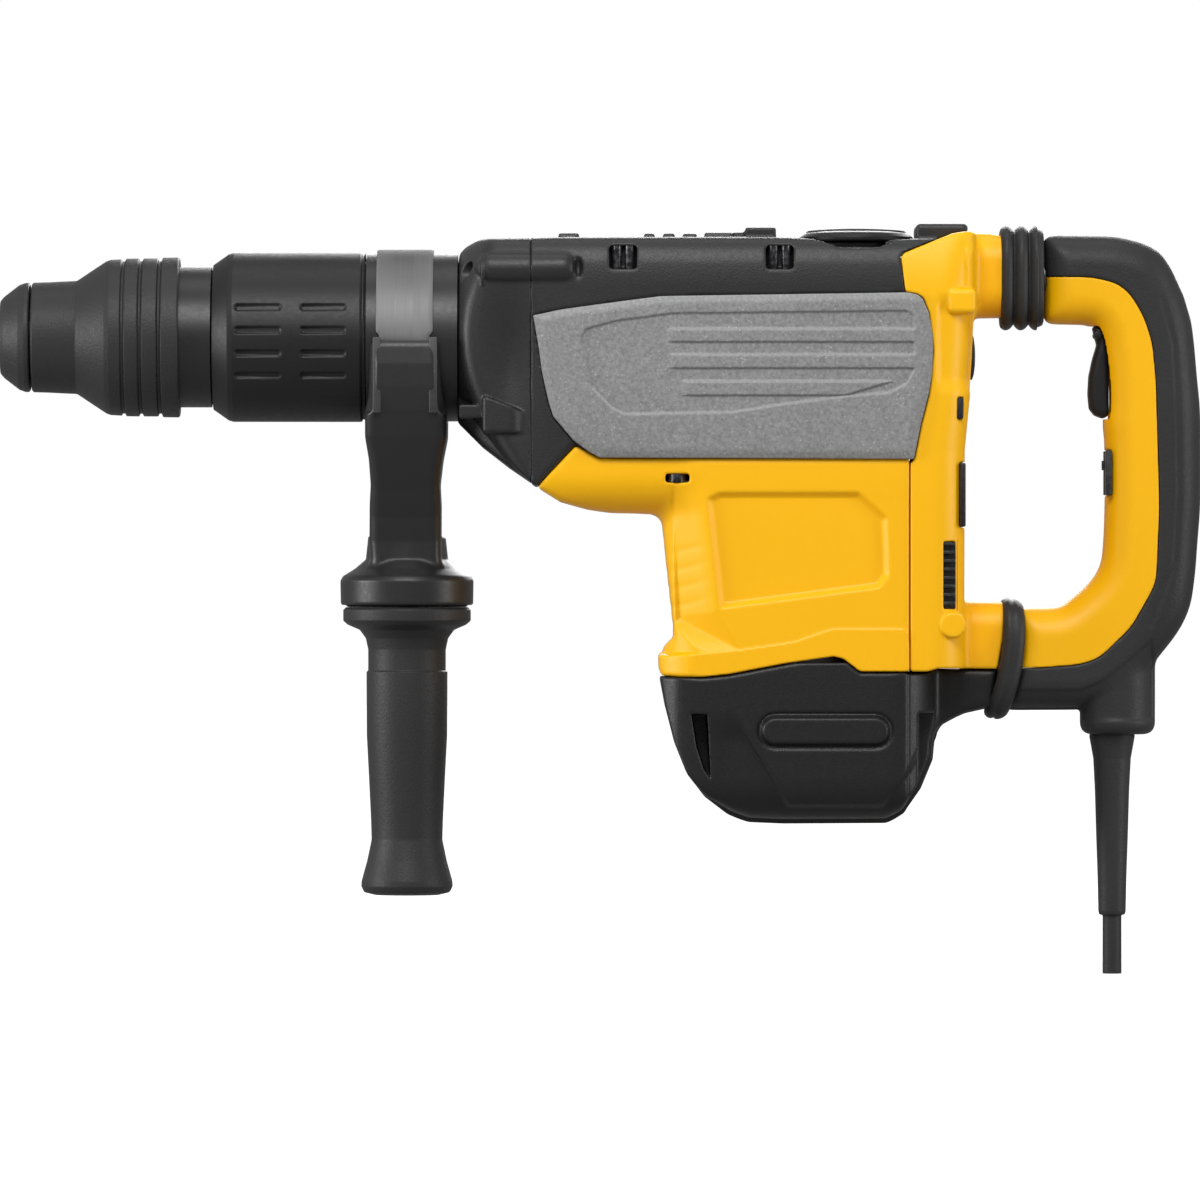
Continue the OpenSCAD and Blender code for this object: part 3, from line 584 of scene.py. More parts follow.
plastic("yellow_plastic", (251, 185, 1), (255, 191, 3), roughness=0.42, worn=(255, 214, 120),
        grain=1700, bump=0.10, wear=0.22, specular=0.32)
# painted shade: a darker copy of the black plastic for the end cap, which faces down into weaker
# light; the slot inserts and the blank plate wear it too
plastic("black_plastic_shaded", (21, 21, 22), (27, 27, 28), roughness=0.42, worn=(80, 80, 83),
        bump=0.18, wear=0.3, specular=0.40)
plastic("black_plastic", (31, 31, 32), (38, 38, 39), roughness=0.44, worn=(96, 96, 99),
        bump=0.22, wear=0.3, specular=0.42)
plastic("black_satin", (24, 24, 25), (30, 30, 31), roughness=0.46, worn=(100, 100, 103),
        grain=1300, bump=0.10, specular=0.34)
speckle("grey_plastic")
plastic("soft_rubber", (42, 42, 43), (49, 49, 50), roughness=0.50, worn=(78, 78, 80),
        grain=1100, bump=0.30, wear=0.25, specular=0.3)
metal("leg_steel", (96, 96, 97), roughness=0.6, stretch=(6, 6, 500), bump=0.04)
metal("band_steel", (146, 146, 147), roughness=0.66, stretch=(700, 6, 6), bump=0.04)
metal("hardened_steel", (150, 150, 153), roughness=0.3, stretch=(400, 30, 30))
metal("bright_steel", (205, 206, 209), roughness=0.18, stretch=(300, 60, 60), bump=0.02)
plastic("screw_steel", (34, 34, 36), (44, 44, 46), roughness=0.34, worn=(120, 120, 124),
        grain=900, bump=0.08, wear=0.7, metallic=0.7)
metal("cast_aluminium", (176, 177, 179), roughness=0.45, stretch=(160, 160, 160), bump=0.16,
      anisotropic=0.0)
plastic("black_metal", (37, 37, 38), (44, 44, 45), roughness=0.40, worn=(130, 130, 134),
        grain=900, bump=0.05, wear=0.0, specular=0.5, metallic=0.25)
metal("lamination_steel", (112, 112, 116), roughness=0.45, stretch=(20, 20, 2200), bump=0.25,
      anisotropic=0.0)
metal("copper_brass", (196, 124, 70), roughness=0.3, stretch=(60, 60, 500), bump=0.06)
plastic("carbon", (30, 30, 32), (40, 40, 42), roughness=0.7, grain=700, bump=0.2)
plastic("control_board", (36, 58, 48), (44, 68, 56), roughness=0.5, grain=400, bump=0.15)

# ------------------------------------------------------------------ gear case and nose housing
# Side outlines are (x, z).
COVER = [
    (267, 9.75), (280, 12.5), (288.5, 13.75), (314.5, 17.25), (330, 19.25), (340, 19.45),
    (452.5, 21.1), (457.5, 20), (460, 17.75), (463, 10.75), (464.75, 0.75), (465, -7.75),
    (464.5, -18.75), (463, -28.25), (459, -43.75), (455.5, -61.25), (300, -60.55),
    (294, -57.25), (286.8, -51.75), (277, -40.25), (274.75, -33.25), (271.5, -18.75),
    (269.4, -3.75)]
COVER_FIELD = [    # sunk field inside the rim of the cover
    (293, 3.25), (308, 7.25), (336.5, 11), (452, 12.25), (455, 10.25), (456, 6.25),
    (456, -17.25), (452.5, -23.75), (443.5, -28.5), (421.5, -30.25), (383.5, -35.25),
    (365.5, -38.25), (331, -38.75), (312.5, -39.25), (305.5, -35.75), (295.5, -25.75),
    (292, -10.75), (290.5, -1.25)]
# raised bars on the cover: z bottom, z top, x start, x end at the top, x end at the bottom
# edge of the taper (the end moves as the bar goes down)
COVER_BARS = ((-3.25, 3.25, 336.2, 456, 456), (-16.25, -9.55, 336.4, 456, 456),
              (-29.75, -22.75, 342.6, 445.5, 421.5))
GEAR_SIDE = [
    (245, 49.3), (266.1, 49.5), (280, 50.15), (290, 50.25), (320, 50.45), (350, 50.55),
    (367.5, 50.55), (391, 50.25), (402.5, 49.25), (430, 49), (451.5, 48.85), (459, 48.85),
    (480, 48.85), (480, 37.75), (476, 18.75), (451.5, -66.25), (300, -66.25),
    (288.2, -54.25), (268.75, -75.25), (254.5, -65.25), (245, -57.25)]
GEAR_REGION = [
    (265.95, 68.75), (492.5, 68.75), (492.5, 52.25), (482, 52.45), (475, 51.45),
    (450.5, 41.45), (448.8, 38.75), (451, 21.75), (463, 21.75), (454.5, -60.75),
    (300, -60.25), (288.2, -54.25), (268.75, -74.25), (265.95, -74.25)]
ROOF_RIBS = ((279.4, 289.6, 51.35), (322, 327.2, 51.2), (331.4, 337.2, 51.2),
             (341.2, 348.2, 51.1), (352, 366, 51.6), (372.4, 387.6, 54.2))    # x, x, top z
POCKET_XS, POCKET_HALF = (311.5, 389.2), 6.9
NOSE_SIDE = [
    (229.2, 42.45), (232.3, 45.25), (240.8, 48.8), (250, 49.3), (265.7, 49.55),
    (287.5, 49.95), (287.5, -89.25), (265.7, -72.85), (254.5, -65.25), (241.25, -54.95),
    (229.2, -42.95)]
NOSE_REGION = [(225, 68.75), (265.6, 68.75), (265.6, -74.25), (225, -74.25)]


def shoulder(y, z, height):
    """Sloping plane that leans the flank in above the height."""
    return (y - 50.2) * 0.94 + (z - height) * 0.34


def case_block(grid, side, softness, half_width, corner):
    """Side outline crossed with the case section, shoulders leaning in."""
    _, y, z = grid.axes
    section = grid.section(half_width, (ROOF_Z - CASE_DEPTH, ROOF_Z), corner)
    block = meet(grid.profile(side, softness), section, 3.0)
    return meet(block, shoulder(y, z, 38), 5.0)


def flank_dish(x, y, z):
    """Depth of the hollow where the nose meets the gear case."""
    dish = 3.6 * bell(x, 256, 11.0) * bell(z, -10, 30.0)
    return np.where(y > 25, dish * fade(25, 44, y), 0)


def flank_boss(grid, start, end):
    """Round-ended boss along the upper flank."""
    x, y, z = grid.axes
    return np.sqrt((x - np.clip(x, start, end)) ** 2 + (y - 45.2) ** 2 + (z - 33.4) ** 2) - 7.9


def gear_housing():
    grid = Grid((264.6, 485), (0, 56), (-76, 58), HOUSING_STEP)
    x, y, z = grid.axes
    shape = case_block(grid, GEAR_SIDE, softness=0.7, half_width=49.8, corner=14.0)
    # flank set back a little, so the grey cover sits in a seat
    shape = np.maximum(shape, np.where(grid.profile(COVER) < 0.5, y - 49.2, -9))
    shape = shape + flank_dish(x, y, z)
    shape = join(shape, flank_boss(grid, 250, 281.5), 1.0)
    eye = np.sqrt(((x - 289.2) / 2.5) ** 2 + ((y - 51.5) / 5.0) ** 2
                  + ((z - 34.4) / 6.0) ** 2) - 1
    shape = cut(shape, eye * 2.5, blend=0.8)
    for centre in POCKET_XS:
        pocket = grid.box((centre - POCKET_HALF, centre + POCKET_HALF), (40.0, 60),
                          (32.9, 44.7), corner=2.0)
        shape = cut(shape, pocket, blend=0.8)
    for start, end, top in ROOF_RIBS:
        rib = grid.box((start, end), (-27, 27), (40, top), corner=0.8)
        shape = join(shape, rib, 0.9)
    shape = join(shape, grid.box((366, 392), (-22, 22), (40, 51.9), corner=1.5), 2.0)
    # round bay around the mode dial, with its pedestal and a flat seat
    reach = np.sqrt((x - 428.3) ** 2 + y ** 2)
    bay = np.maximum(np.maximum(reach - 46.6, 43.6 - z), 23 - reach)
    bay = cut(bay, np.maximum(442 - x, y - 24.5))
    shape = cut(shape, bay, blend=0.7)
    shape = cut(shape, np.maximum(reach - 28.9, 47.2 - z))
    # raised rear pad over the yellow cover
    pad = grid.box((457.4, 483.2), (-24, 24), (40, 56.2), corner=2.2)
    shape = join(shape, np.maximum(pad, 46.0 + (x - 457) * 0.22 - z), 1.2)
    shape = np.maximum(shape, grid.profile(GEAR_REGION) - SEAM_OVERLAP)
    # hollow for the mechanism
    shape = cut(shape,
                grid.box((270, 446), (-45, 45), (-90, 20), corner=1.0),
                grid.box((270, 446), (-26, 26), (10, 40.0), corner=1.0),
                grid.rod_x(260, 300, 41.6),
                grid.rod_z(MODE_DIAL_X, 30, 60, 8.3))
    skin("gear_housing_shell", shape, grid, "black_plastic", "root", "gear_housing")


def front_housing():
    grid = Grid((228, 267.5), (0, 56), (-76, 52), 0.6)
    x, y, z = grid.axes
    shape = case_block(grid, NOSE_SIDE, softness=0.5, half_width=50.0, corner=16.0)
    # flare from the round barrel seat to the full width
    cone = (np.sqrt(y ** 2 + z ** 2) - (43.0 + (x - 229) * 1.35)) * 0.62
    lower = np.maximum(y - (31 + (x - 229) * 0.5), z)
    cone = np.minimum(cone, meet(lower, -30, 4.0))
    shape = meet(shape, cone, 5.0)
    shape = shape + flank_dish(x, y, z)
    shape = join(shape, flank_boss(grid, 246.2, 275), 1.0)
    wedge = grid.box((241.8, 270), (30, 52.5), (-48.6, -29.8), corner=2.0)
    wedge = np.maximum(wedge, (z + 29.4) * 0.92 + (x - 241) * 0.36)
    wedge = meet(wedge, (x - 260.5) * 0.5 + (y - 50.0) * 0.8, 1.5)
    shape = join(shape, wedge, 1.0)
    ledge = grid.box((230.0, 244), (20, 45.5), (-41.0, -34.2), corner=1.0)
    shape = join(shape, ledge, 0.8)
    boss_rim = grid.rod_x(241.0, 242.6, 9.0, y=43.6, z=31.5)
    shape = join(shape, boss_rim, 0.6)
    shape = np.maximum(shape, grid.profile(NOSE_REGION) - SEAM_OVERLAP)
    # stepped bore and the four screw holes
    shape = cut(shape,
                grid.rod_x(220, 300, 36.3),
                grid.rod_x(235.3, 252.2, 40.3),
                grid.rod_x(252.4, 270, 41.7),
                *[grid.rod_x(220, 270, 4.9, y=36, z=hole_z) for hole_z in (32, -36)])
    skin("front_housing_shell", shape, grid, "black_plastic", "root", "front_housing")


def side_covers():
    grid = Grid((266, 466), (49.6, 56), (-63, 23), 0.5, mirrored=False)
    x, y, z = grid.axes
    outline = grid.profile(COVER, 0.3) - SEAM_OVERLAP
    # outer face as a y for each (x, z)
    face = 53.9 - 1.3 * fade(0.5, -0.7, grid.profile(COVER_FIELD, 0.5))
    face = face - 1.2 * fade(-6.0, 0, outline) ** 2
    # the front end curves in towards the nose
    face = face - 1.7 * fade(300, 262, x) ** 2
    for bottom, top, start, end_top, end_bottom in COVER_BARS:
        bar = (fade(-0.45, 0.45, z - bottom) * fade(-0.8, 0.8, top - z)
               * fade(-3.5, 1.0, x - start))
        down = np.clip((top - z) / (top - bottom), 0, 1)
        bar = bar * fade(-0.5, 0.8, end_top + (end_bottom - end_top) * down - x)
        face = face + 1.35 * bar
    shape = np.maximum(round_meet(outline, y - face, 0.8), 49.75 - y)
    skin_pair("side_cover", "panel", shape, grid, "grey_plastic", "root")


# ------------------------------------------------------------------ motor housing and end cap
MOTOR_SIDE = [
    (288.1, -54.55), (300, -60.85), (453.5, -61.05), (453.5, -166.75), (429, -166.75),
    (424.5, -163.25), (421, -160.5), (416, -159.25), (391.5, -162.75), (364, -168),
    (352, -169.25), (340, -169.35), (330.5, -168.75), (329.3, -164.75), (329.2, -158.75),
    (330.5, -155.75), (336.75, -149.75), (336.5, -143.25), (333.5, -116.25),
    (331.5, -100.25), (329.5, -93.25), (325, -89.25), (317.5, -88.45), (306, -88.05),
    (293, -85.75), (280, -82.05), (268.8, -74.95)]
MOTOR_SKIRT = [
    (320, -158.75), (337, -157.75), (368, -155.75), (396, -151.75), (414.5, -145.25),
    (453, -145.25), (456, -191.25), (320, -191.25)]
MOTOR_PANEL = [
    (352, -80.25), (359, -76.75), (429, -76.75), (443.5, -89.75), (444.5, -119.25),
    (439, -126.25), (358.5, -136.75)]
MOTOR_FRONT = [    # part of the flank that leans in towards the front
    (320, -51.25), (359.5, -51.25), (358.5, -61.25), (352.5, -80.75), (358.5, -136.25),
    (370, -156.25), (320, -161.25)]
FLOOR_PLAN = [(290.6, -29.3), (302.7, -40.4), (440.6, -40.4),
              (440.6, 40.4), (302.7, 40.4), (290.6, 29.3)]    # (x, y) of the upper hollow
GROOVE_COUNT, GROOVE_TOP_Z, GROOVE_PITCH = 5, -106.75, 9
CAP_SIDE = [
    (329.7, -169.25), (332.5, -184.25), (337.25, -202.75), (343.25, -217.75),
    (352, -229.25), (363.5, -238), (374, -242.45), (391.5, -243.75), (442.5, -243.25),
    (451.5, -237.45), (460, -225.25), (466, -210.75), (467.25, -196.75), (471, -193.25),
    (477.5, -189.75), (482, -187.75), (496, -184.65), (498.5, -165.35), (467.5, -164.9),
    (462.5, -167.15), (453.5, -167.15), (429, -167.15), (424.5, -163.75), (421, -160.9),
    (416, -159.65), (391.5, -163.15), (364, -168.4), (352, -169.65), (340, -169.75)]
KEEL_PANEL = [
    (367.5, -131.25), (459, -131.25), (459, -201.25), (452.5, -214.75), (439.5, -232.25),
    (394, -232.25), (376, -202.25), (367.5, -187.25)]
FRONT_VENT = [(345.25, -187.75), (353.25, -188.25), (354.75, -219.75), (351.5, -215.25),
              (347.75, -203.75)]


def motor_housing():
    grid = Grid((267, 455), (0, 56), (-170, -52), HOUSING_STEP)
    x, y, z = grid.axes
    side = grid.profile(MOTOR_SIDE, 0.7)
    # chin: round under the gear case; column: round towards the front
    chin = grid.section(49.6, (-88.5, 31.5), 21)
    column = rounded_box((x, y), (331, 520), (-51, 51), corner=27)
    shape = meet(side, join(chin, meet(column, z + 62, 2), 7.0), 2.5)
    shape = meet(shape, y - 50.6, 2.0)
    # the skirt above the end cap bulges
    skirt = fade(1.2, -1.2, grid.profile(MOTOR_SKIRT, 1.4))
    bulge = rounded_box((x, y), (324.8, 520), (-52.3, 52.3), corner=30)
    bulge = meet(side, bulge + (1 - skirt) * 7.5, 2.0)
    shape = np.where(skirt > 0, np.minimum(shape, bulge), shape)
    # sunk side panel
    panel = grid.profile(MOTOR_PANEL, 0.5)
    depth = 3.0 * fade(0.2, -4.2, panel)
    shape = np.maximum(shape, np.where(y > 30, y - (50.6 - depth), -9)
                       - np.where(panel > 0.2, 50, 0))
    # in front of the panel the flank steps in, then leans towards the nose
    flank, chamfer = 50.7, 5.2
    lean = np.clip(-polygon(x, z, MOTOR_FRONT), 0, 60)
    half = (flank - 0.52 * np.minimum(lean, chamfer)
            - np.where(lean > chamfer, 0.62 * (lean - chamfer), 0))
    half = flank - (flank - half) * fade(-66, -90, z) * fade(320, 336, x)
    shape = meet(shape, (y - half) * 0.86, 0.7)
    # shallow finger grooves on the column
    for k in range(GROOVE_COUNT):
        groove_z = GROOVE_TOP_Z - GROOVE_PITCH * k
        shape = shape + (0.2 * bell(z - groove_z - (x - 340) * 0.25, 0, 1.9)
                         * fade(357, 345, x) * fade(331, 336, x))
    # slot for the case screw, over an upright channel
    slot = grid.box((332.4, 344.4), (40.3, 60), (-73.0, -68.6), corner=1.2)
    shape = cut(shape, slot, blend=0.8)
    channel = np.sqrt((x - 338.2) ** 2 + (y - 51.5) ** 2) - 3.2
    channel = np.maximum(channel, np.maximum(-82.25 - z, z - -71.25))
    shape = cut(shape, channel, blend=1.2)
    # hollow for the motor
    shape = cut(shape,
                grid.rod_z(MOTOR_X, -175, -104, 44.2),
                grid.rod_z(MOTOR_X, -104.3, -84, 45.7),
                np.maximum(polygon(x, y, FLOOR_PLAN), np.maximum(-80.3 - z, z + 50)),
                grid.rod_z(MOTOR_X, -95, -60, 17.8),
                grid.box((430, 470), (-30, 30), (-160, -70)))
    skin("motor_housing_shell", shape, grid, "yellow_plastic", "root", "motor_housing")


def end_cap():
    grid = Grid((328, 500), (0, 57), (-246, -163), HOUSING_STEP)
    x, y, z = grid.axes
    side = grid.profile(CAP_SIDE, 0.6)
    plan = rounded_box((x, y), (325, 467.5), (-51.6, 51.6), corner=26)
    # the lower edge rolls under
    roll = grid.section(51.6, (-243.6, -100), 25)
    body = meet(meet(side, plan, 0.8), roll, 4.0)
    # narrow bracket that carries on into the lower arm
    arm = meet(np.maximum(side, 440 - x), y - 20.8, 4.0)
    arm = meet(arm, grid.section(20.5, (-199.0, -140), 9), 2.0)
    shape = join(body, arm, 4.0)
    # seam line at the upright rear corner
    seam = 0.9 * bell(x, 453.0, 0.6) + 0.7 * fade(453, 454.5, x)
    shape = shape + seam * (y > 15) * fade(-240, -225, z)
    # stepped keel panel and the bar in it
    keel = fade(-0.3, 2.6, grid.profile(KEEL_PANEL, 0.8))
    shape = shape + np.where(y > 20, 2.4 * keel * fade(-186, -203, z) * fade(345, 366, x), 0)
    bar = grid.side_rect((379.75, 443.75), (-203.5, -188.75), 7.2)
    shape = shape - np.where(y > 20, 2.5 * fade(0.5, -1.9, bar) - 0.9 * bell(bar, 0.9, 0.8), 0)
    # front and rear vents
    shape = cut(shape, np.maximum(polygon(x, z, FRONT_VENT), 30 - y), blend=0.8)
    rear_vent = grid.side_rect((457.75, 466.25), (-224.25, -187.5), 1.0)
    shape = cut(shape, np.maximum(rear_vent, np.abs(y - 40) - 11), blend=0.8)
    # stepped hollow, open upwards
    shape = cut(shape,
                grid.rod_z(MOTOR_X, -214.3, -150, 44.3),
                grid.rod_z(MOTOR_X, -234.2, -213, 36.2),
                grid.rod_z(MOTOR_X, -240, -233, 13.2),
                grid.box((442, 480), (-15, 15), (-183, -150)))
    # painted shade: the end cap wears the darker copy of the black plastic
    skin("end_cap_shell", shape, grid, "black_plastic_shaded", "root", "end_cap")


# ------------------------------------------------------------------ rear cover
REAR_SIDE = [
    (449.2, 38.55), (450.8, 40.85), (475, 50.85), (482, 52.15), (494.5, 51.95),
    (500, 50.45), (502, 46.25), (502, 9.75), (488, 9.45), (486.6, 7.75), (486.1, 0.75),
    (485.7, -6.25), (485.2, -17.25), (484.3, -30.25), (481.8, -56.25), (481.5, -131.45),
    (502, -131.95), (500.5, -151.25), (498, -165.55), (467.5, -165.2), (462.5, -166.75),
    (453.95, -166.75), (453.95, -63.25), (455.9, -61.55), (459.4, -43.9), (463.4, -28.25),
    (465.4, -7.75), (463.4, 10.75), (460.5, 18.15), (457.7, 20.35), (452.5, 21.45),
    (451.5, 21.55)]
# rear face: x at each z
REAR_FACE_Z = [-170, -131, -57, -30, -10, 9, 60]
REAR_FACE_X = [481.4, 481.4, 481.6, 484.2, 485.6, 486.4, 487.2]


def rear_cover():
    grid = Grid((447, 505), (0, 54), (-167.5, 54), 0.7)
    x, y, z = grid.axes
    rear_x = np.interp(z.ravel(), REAR_FACE_Z, REAR_FACE_X).astype(f32)[None, None, :]
    plan = rounded_box((x, y), (380, rear_x), (-50.2, 50.2), corner=17)
    roof = shoulder(y, z, 36)
    body = meet(meet(meet(plan, z - 52.2, 3.0), roof, 5.0), -168.5 - z, 1.0)
    # sunk cheek on the flank, and an upright rib above it at the rear corner
    body = body + 2.2 * fade(466.0, 470.0, x) * fade(-30, -20, z) * fade(22, 12, z) * (y > 20)
    rib = np.exp(-((x - 483.8) / 2.3) ** 4)
    body = body - 1.6 * rib * fade(14, 18, z) * fade(48, 40, z) * (y > 20)
    # stubs that meet the upper and lower handle arms
    ends = np.maximum(440 - x, x - 501.6)
    upper = meet(grid.section(22.2, (9.2, 52.4), 15), ends, 1.2)
    lower = meet(grid.section(20.6, (-190, -132), 13), ends, 1.2)
    shape = join(join(body, upper, 5.0), lower, 5.0)
    # bosses
    boss = grid.box((472.6, 486.6), (30, 50.9), (10.8, 23.2), corner=2.8)
    shape = join(shape, boss, 1.2)
    boss = grid.rod_y(475.2, -143.6, 30, 50.9, 6.3)
    shape = join(shape, meet(boss, y - 50.9, 1.0), 1.2)
    shape = meet(shape, grid.profile(REAR_SIDE, 0.45), 1.2)
    # vent, slot and the seat of the blank plate
    vent = grid.side_rect((470.3, 476.3), (-135.75, -102.25), 0.4)
    shape = cut(shape, np.maximum(vent, 36 - y), blend=0.5)
    slot = grid.side_rect((477.25, 480.25), (-41.75, -30.5), 1.0)
    shape = cut(shape, np.maximum(slot, 42 - y), blend=0.4)
    seat = grid.box((478.4, 500), (-60, 60), (-95.25, -62.75), corner=0.6)
    shape = cut(shape, seat, blend=0.4)
    # hollow
    hollow = meet(meet(plan + 4.6, z - 46.5, 3), -161 - z, 1)
    hollow = meet(np.maximum(hollow, x - 478.5), roof + 5.0, 2.0)
    shape = cut(shape, hollow,
                grid.rod_x(484, 505, ARM_BORE, z=ARM_Z),
                grid.rod_x(470, 500, 4.3, z=SPEED_DIAL_Z),
                grid.rod_x(484.4, 500, 12.3, z=SPEED_DIAL_Z),
                grid.box((488, 528), (-9.1, 9.1), (-176, -145)),
                grid.rod_y(PIVOT_X, PIVOT_Z, 0, 30, PIVOT_RADIUS))
    skin("rear_cover_shell", shape, grid, "yellow_plastic", "root", "rear_cover")


# ------------------------------------------------------------------ rear handle
HANDLE_SIDE = [
    (521.5, 50.55), (557.5, 50.05), (570, 47.25), (578.5, 43.25), (582.5, 38.25),
    (586, 32.25), (588.5, 26.25), (591.5, 20.25), (593, 14.25), (595, 8.25), (596.5, -3.75),
    (598, -21.75), (599, -31.25), (599.5, -41.25), (599.5, -81.75), (599, -91.25),
    (598, -103.75), (597.5, -111.75), (597, -117.75), (595.5, -129.75), (594, -135.75),
    (591.5, -141.75), (588, -147.75), (583.5, -153.75), (578.5, -159.75), (574, -166.25),
    (560, -181.25), (541, -185.75), (500, -185.95), (503.5, -165.25), (506, -151.25),
    (507.5, -135.25), (530, -135), (537, -129.75), (544, -123.75), (548.5, -117.75),
    (551, -111.75), (552, -98.75), (552.5, -81.25), (552.3, -51.25), (551.2, -42.75),
    (552.5, -32.25), (551.5, -16.25), (549.3, -1.25), (546, 6.25), (530, 6.55),
    (521.5, 6.75)]
HANDLE_YELLOW = [
    (515, 30.25), (545.5, 29.75), (558, 26.75), (565, 20.75), (571.5, 9.25),
    (575.5, -3.25), (577.25, -22.25), (578.25, -56.25), (579, -84.75), (577.5, -120.75),
    (575.5, -126.25), (565, -144.75), (549, -160.25), (539.5, -163.5), (517, -165.25),
    (490, -165.25), (490, -111.25), (514, -111.25), (530, -111.25), (542.5, -111.25),
    (542.5, -1.25), (515, -1.25)]
HANDLE_CORE = [
    (525, 27), (545, 26.5), (556, 23.5), (562, 18), (568, 8), (572, -4), (574, -22),
    (575, -56), (575.5, -84), (574, -119), (562, -142), (547, -157), (519, -161),
    (519, -139), (531, -139), (539, -133), (547, -126), (552, -118), (555.7, -100),
    (555.9, -43), (552.9, -20), (549.9, 9.8), (525, 9.8)]
HANDLE_TONGUE = [
    (517, -150), (504, -153.4), (497.8, -155), (496.4, -161), (497.8, -167),
    (504, -168.6), (508, -167), (510.2, -165.1), (517, -165.1)]
HANDLE_CREASE = [(580, 18.75), (586, -3.75), (587.5, -31.25), (588.5, -76.25),
                 (586.5, -111.25), (575, -143.75)]
HANDLE_LAND = [(500, -176.25), (539, -176.25), (550, -171.75), (561, -163.25),
               (575, -151.25), (580, -191.25), (500, -191.25)]
HANDLE_HALF_WIDTH, HANDLE_EDGE = 19.4, 15.0
TRIGGER_SIDE = [
    (545.8, 5.55), (548.25, -3.75), (546, -11.25), (544.3, -19.25), (543.8, -28.25),
    (544.5, -35.75), (547, -39), (551.5, -40.65), (555.25, -38.25), (554, -7.25),
    (552.5, 5.25)]


def trim_corners(points):
    """Cut each corner twice, by a quarter of its edges or at most 2.2 mm."""
    for _ in range(2):
        trimmed = []
        for i in range(len(points)):
            a, b = points[i], points[(i + 1) % len(points)]
            t = min(0.25, 2.2 / max(math.hypot(a[0] - b[0], a[1] - b[1]), 1e-6))
            trimmed += [(a[0] + (b[0] - a[0]) * t, a[1] + (b[1] - a[1]) * t),
                        (b[0] + (a[0] - b[0]) * t, b[1] + (a[1] - b[1]) * t)]
        points = trimmed
    return points


def rear_handle():
    grid = Grid((495, 602), (0, 22), (-200, 54), 0.7)
    x, y, z = grid.axes
    side = grid.profile(trim_corners(HANDLE_SIDE), 2.0)
    yellow = grid.profile(trim_corners(HANDLE_YELLOW), 2.0)

    def loop(grow):
        return round_meet(side - grow, y - (HANDLE_HALF_WIDTH + grow), HANDLE_EDGE)

    core = polygon(x, z, HANDLE_CORE)
    core = np.maximum(np.maximum(core, y - 15.8), loop(0.0) + 2.6)
    window = grid.box((535, 561), (-12.4, 12.4), (-41, 5.6), corner=1.0)
    shell = cut(meet(loop(0.0), yellow + 0.15, 0.5), window, core)
    shell = np.minimum(shell, round_meet(polygon(x, z, HANDLE_TONGUE), y - 8.6, 1.0))
    shell = cut(shell,
                grid.rod_y(PIVOT_X, PIVOT_Z, -1, 30, PIVOT_RADIUS),
                grid.rod_x(515, 560, ARM_BORE, z=ARM_Z),
                grid.box((540, 560), (-4.1, 4.1), (-80, -56), corner=0.4),
                grid.box((540, 555.5), (-30, 30), (-78.9, -56.5), corner=0.6),
                grid.rod_y(TRIGGER_X, TRIGGER_Z, -1, 16, 2.2))
    shell = np.maximum(shell, 0.06 - y)
    skin_pair("handle_shell", "skin", shell, grid, "yellow_plastic", "rear_handle")

    # rubber overmould, slightly proud, with a crease near its back
    outside_yellow = -(yellow - 0.12)
    rubber = meet(loop(0.35), outside_yellow, 0.5)
    rubber = rubber + 0.5 * bell(polyline(x, z, HANDLE_CREASE), 0, 1.4) * (y > 5)
    # round boss around the power cord
    boss = np.sqrt((x - 558.7) ** 2 + y ** 2) - 18.8
    boss = meet(boss, np.maximum(-198.4 - z, z + 150), 6.5)
    rubber = join(rubber, np.maximum(boss, outside_yellow), 2.0)
    # flat land along the underside of the lower arm
    land = fade(1.0, -1.0, polygon(x, z, HANDLE_LAND))
    rubber = rubber + 0.9 * land * (y > 6) * fade(-200, -188, z)
    rubber = cut(rubber,
                 grid.rod_x(500, 531.4, ARM_BORE, z=ARM_Z),
                 grid.rod_z(CORD_X, -210, -150, 8.7),
                 core,
                 grid.box((488, 512), (-9.0, 9.0), (-176, -145)))
    skin("handle_overmold_skin", rubber, grid, "soft_rubber", "rear_handle",
         "handle_overmold")


def superellipse(angles, power):
    across, up = np.cos(angles), np.sin(angles)
    scale = (np.abs(across) ** power + np.abs(up) ** power) ** (-1 / power)
    return across * scale, up * scale


def upper_bellows():
    """Folded rubber sleeve between the rear cover and the upper arm."""
    stations, around = 60, 96
    start, length = 499.9, 21.5
    half_width, half_height, centre_z = 20.6, 22.4, 29.6
    folds, fold_height, inner_offset = 2.86, 3.2, -4.4
    xs = np.linspace(start, start + length, stations)
    u = (xs - start) / length
    outer = 0.4 + (fold_height * np.abs(np.sin(math.pi * (u * folds + 0.10))) ** 0.72
                   * np.where(u < 0.86, 1, 0.55))
    outer[[0, -1]] -= 0.8
    offset = np.concatenate([outer, np.full(stations, inner_offset)])[:, None]
    across, up = superellipse(2 * math.pi * np.arange(around) / around, 3.2)
    rings = np.stack([np.concatenate([xs, xs[::-1]])[:, None] + 0 * across,
                      (half_width + offset) * across,
                      centre_z + (half_height + offset) * up], -1)
    ob = ring_mesh("upper_bellows_sleeve", rings, "soft_rubber", triangles=1)
    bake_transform(ob)
    register("upper_bellows")


